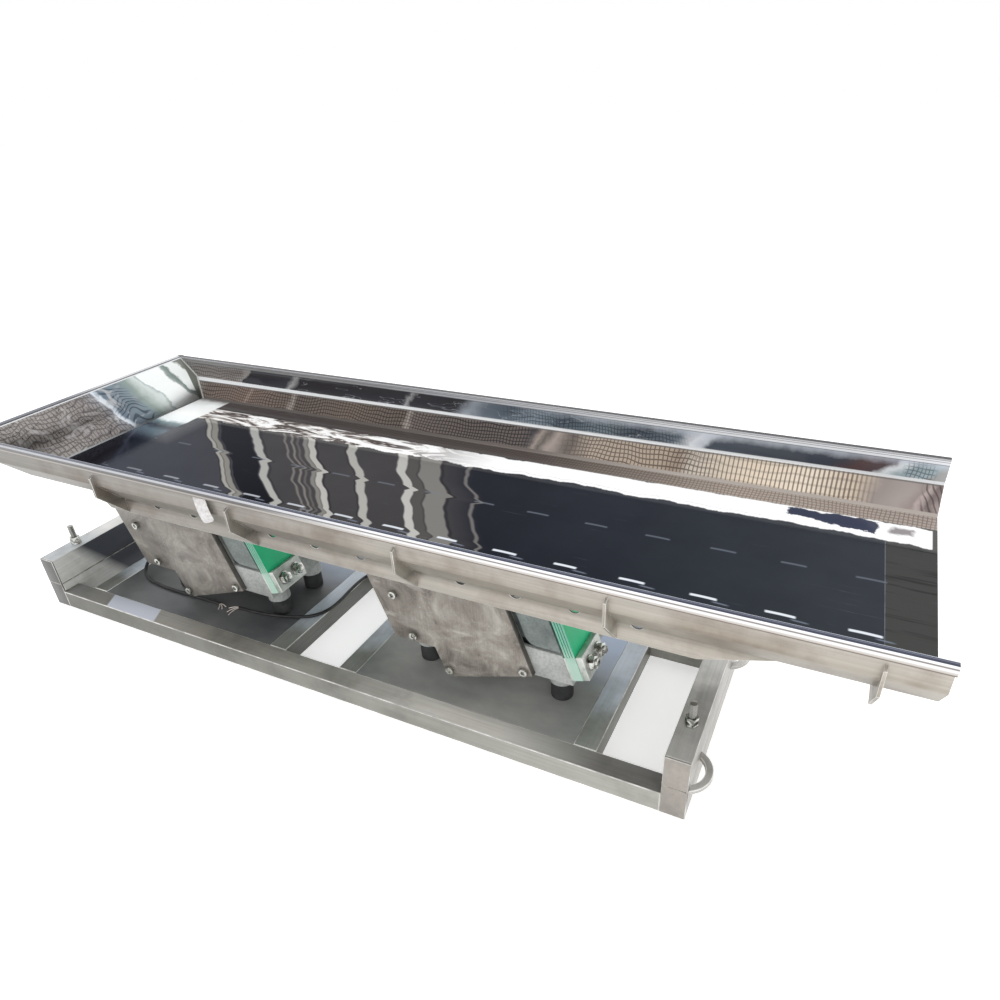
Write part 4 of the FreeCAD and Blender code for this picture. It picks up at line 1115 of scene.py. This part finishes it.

# End wall, painted reflections: white light at the rear, then pale green, then a warped lattice
mirror_end, shader, place = mirror_finish("mirror_end_wall")
x, y, z = split(place)
warp = (clouds(place, 13, detail=5) - 0.5) * 0.06
sway = y + warp + (z - 0.407) * 0.35
base = tones_from(
    sway,
    (-0.26, (150, 146, 142)),
    (-0.14, (162, 156, 152)),
    (-0.02, (142, 136, 134)),
    (0.004, (150, 152, 158)),
    (0.008, (222, 230, 238)),
    (0.014, (206, 216, 226)),
    (0.020, (106, 120, 134)),
    (0.075, (128, 142, 150)),
    (0.095, (146, 160, 154)),
    (0.125, (214, 222, 220)),
    (0.131, (176, 188, 186)),
    (0.134, (244, 249, 248)),
    (0.192, (248, 250, 250)),
    (0.197, (150, 162, 158)),
    (0.206, (118, 130, 126)),
    (0.210, (236, 241, 240)),
    (0.232, (240, 244, 243)),
    (0.238, (132, 134, 128)),
    (0.256, (116, 117, 112)),
)
swirled = warped(warped(place, 9, 0.045), 26, 0.016)
rows = lattice(swirled, "Y", "Z", 0.0078, 0.0092)
curls = along(lines(warped(place, 14, 0.075), "Z", 0.0085), 0.34, 0.08)
base = over(base, rows * along(sway, 0.008, 0.0), (60, 56, 58), 0.6)
base = over(base, curls * within(sway, 0.016, 0.075, 0.010), (44, 56, 66), 0.75)
folds = clouds(stretched(place, (14, 14, 22)), 1, detail=3, distortion=2.4)
dark_fold = within(folds, 0.486, 0.500, 0.004) * along(sway, 0.0, -0.02)
pale_fold = along(folds, 0.56, 0.66) * along(sway, 0.09, 0.05)
base = over(base, dark_fold, (34, 32, 36), 0.8)
base = over(base, pale_fold, (214, 214, 214), 0.5)
to_corner = y + (RIM_TOP - z) * 0.52
base = over(base, along(to_corner, WALL - 0.001, WALL + 0.001), (118, 121, 114))
to_side = calc("ABSOLUTE", y) - calc("MINIMUM", 0.0, (z - FOLD) * 0.866)
base = over(base, along(to_side, WALL - 0.0030, WALL - 0.0018), (212, 214, 212))
base = over(base, along(z, RIM_TOP - 0.004, RIM_TOP - 0.003), (224, 228, 232))
base = over(base, along(z, FLOOR_TOP + 0.003, FLOOR_TOP + 0.001), (180, 184, 186), 0.8)
paint(shader, base)

# Rim: a hem with thin drawn lines along it, and a painted highlight along its rolled corner. Its lip is
# dark to the left and warm to the right.
rim, shader, place = new_finish("drawn_rim", metallic=0.2)
x, y, z = split(place)
off_wall = calc("ABSOLUTE", y) - WALL
drawn = clouds(stretched(place, (3, 900, 900)), 1, detail=2)
front_top = tones_from(
    off_wall,
    (0.0, (80, 86, 104)),
    (0.0020, (56, 62, 84)),
    (0.0026, (196, 202, 216)),
    (0.0032, (58, 64, 86)),
    (0.0046, (64, 70, 92)),
    (0.0051, (142, 148, 166)),
    (0.0056, (56, 60, 80)),
    (0.0090, (50, 54, 72)),
    (0.0096, (64, 68, 84)),
    (0.0102, (246, 248, 252)),
)
rear_top = tones_from(
    off_wall,
    (0.0, (206, 208, 214)),
    (0.0012, (150, 150, 154)),
    (0.0022, (44, 44, 48)),
    (0.012, (32, 32, 36)),
)
at_rear = along(y, -0.05, 0.05)
lip_left = tones_from(
    z,
    (0.4360, (124, 118, 110)),
    (0.4378, (150, 144, 138)),
    (0.4400, (182, 177, 171)),
    (0.4410, (92, 88, 86)),
    (0.4440, (96, 92, 92)),
    (0.4455, (118, 116, 118)),
    (0.4462, (196, 198, 204)),
    (0.4480, (206, 208, 214)),
)
lip_right = tones_from(
    z,
    (0.4360, (126, 118, 110)),
    (0.4372, (130, 122, 114)),
    (0.4380, (204, 197, 190)),
    (0.4400, (212, 206, 201)),
    (0.4410, (244, 244, 246)),
    (0.4436, (244, 244, 246)),
    (0.4444, (150, 140, 132)),
    (0.4456, (128, 121, 118)),
    (0.4463, (246, 248, 252)),
    (0.4480, (248, 250, 254)),
)
lip = mixed(along(x + drawn * 0.2, 0.0, 0.25), lip_left, lip_right)
upward = facing(shader, 2)
is_top = mixed(at_rear, along(upward, 0.90, 0.97), along(upward, 0.30, 0.40))
paint(shader, mixed(is_top, lip, mixed(at_rear, front_top, rear_top)))
rubbed(shader, drawn, 0.12, 0.28)

# The parts of the sheet are told apart by where their faces lie and turn
OUTSIDE, BOTTOM, LOWER_SIDE, UPPER_SIDE, HEM = range(5)
HEM_HEIGHT, HEM_INSIDE, NEAR_ENOUGH, SLOPE = 0.0125, 0.0025, 0.001, 0.45
pan = dressed("trough_pan", "tray", "polished_sheet", satin)
for finish in (mirror_floor, mirror_lower, mirror_upper, rim):
    pan.data.materials.append(finish)
for face in pan.data.polygons:
    out, height, upward = abs(face.center.y), face.center.z, face.normal.z
    inward = -face.normal.y if face.center.y > 0 else face.normal.y
    on_hem = out > WALL - NEAR_ENOUGH / 2 and height > RIM_TOP - HEM_HEIGHT
    if on_hem and not (out < WALL + HEM_INSIDE and inward < -0.9):
        face.material_index = HEM
    elif abs(face.normal.x) > 0.9:
        face.material_index = OUTSIDE
    elif upward > 0.99 and abs(height - FLOOR_TOP) < NEAR_ENOUGH:
        face.material_index = BOTTOM
    elif inward > 0.01 and upward > SLOPE:
        face.material_index = LOWER_SIDE
    elif inward > 0.01 and upward > -0.01:
        face.material_index = UPPER_SIDE

END_INSIDE, END_RIM, END_OUTER = 1, 2, -0.7855
end_wall = dressed("trough_end_wall", "tray", "polished_sheet", satin)
for finish in (mirror_end, rim):
    end_wall.data.materials.append(finish)
for face in end_wall.data.polygons:
    if face.normal.z > 0.9 or face.center.x < END_OUTER:
        face.material_index = END_RIM
    elif face.normal.x > 0.5 and face.normal.z > 0.5:
        face.material_index = END_INSIDE

UNDER_TROUGH = ["edge_beam_front", "edge_beam_rear", "outlet_rib"]
UNDER_TROUGH += ["floor_stiffeners", "cross_ribs", "wall_gussets"]
for node in UNDER_TROUGH:
    dressed(node, "tray", "folded_stainless", satin, bright_edge, edge=0.0005)

# Paper strip
# A scrap of white tape tucked under the front hem, hanging free.
TAPE_LEFT, TAPE_WIDTH, TAPE_THICKNESS = -0.209, 0.029, 0.0003
TAPE_SAG, TAPE_DRIFT = 0.012, 0.013
TAPE_FALL = [
    (-0.2553, 0.4425),
    (-0.2585, 0.4385),
    (-0.2612, 0.4300),
    (-0.2622, 0.4180),
    (-0.2617, 0.4060),
    (-0.2600, 0.3960),
]
tape_rows = len(TAPE_FALL) - 1
paper, shader, place = new_finish("white_paper_tape", roughness=0.7)
fibre = clouds(place, 150, detail=4)
paint(shader, tones(fibre, (0.3, (206, 202, 200)), (0.6, (238, 236, 236))))
relief(shader, fibre, 0.2)
bpy.ops.object.select_all(action="DESELECT")
bpy.ops.mesh.primitive_grid_add(x_subdivisions=2, y_subdivisions=tape_rows, size=1)
tape = bpy.context.object
tape.name = "tape_strip"
for corner in tape.data.vertices:
    step = round((corner.co.y + 0.5) * tape_rows)
    away, height = TAPE_FALL[step]
    side = corner.co.x + 0.5
    sag = TAPE_SAG * (1 - side) * step / tape_rows
    drift = TAPE_DRIFT * step / tape_rows
    corner.co = (TAPE_LEFT + TAPE_WIDTH * side + drift, away, height - sag)
thick = tape.modifiers.new("paper", "SOLIDIFY")
thick.thickness = TAPE_THICKNESS
thick.offset = 0
bpy.ops.object.modifier_apply(modifier=thick.name)
smooth = tape.modifiers.new("curl", "SUBSURF")
smooth.levels = smooth.render_levels = 2
bpy.ops.object.modifier_apply(modifier=smooth.name)
bpy.ops.object.shade_smooth()
tape.data.materials.append(paper)
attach(tape, "tray")

# Sizes: the bounds of everything shown but the backdrop
bpy.context.view_layer.update()
low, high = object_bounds()
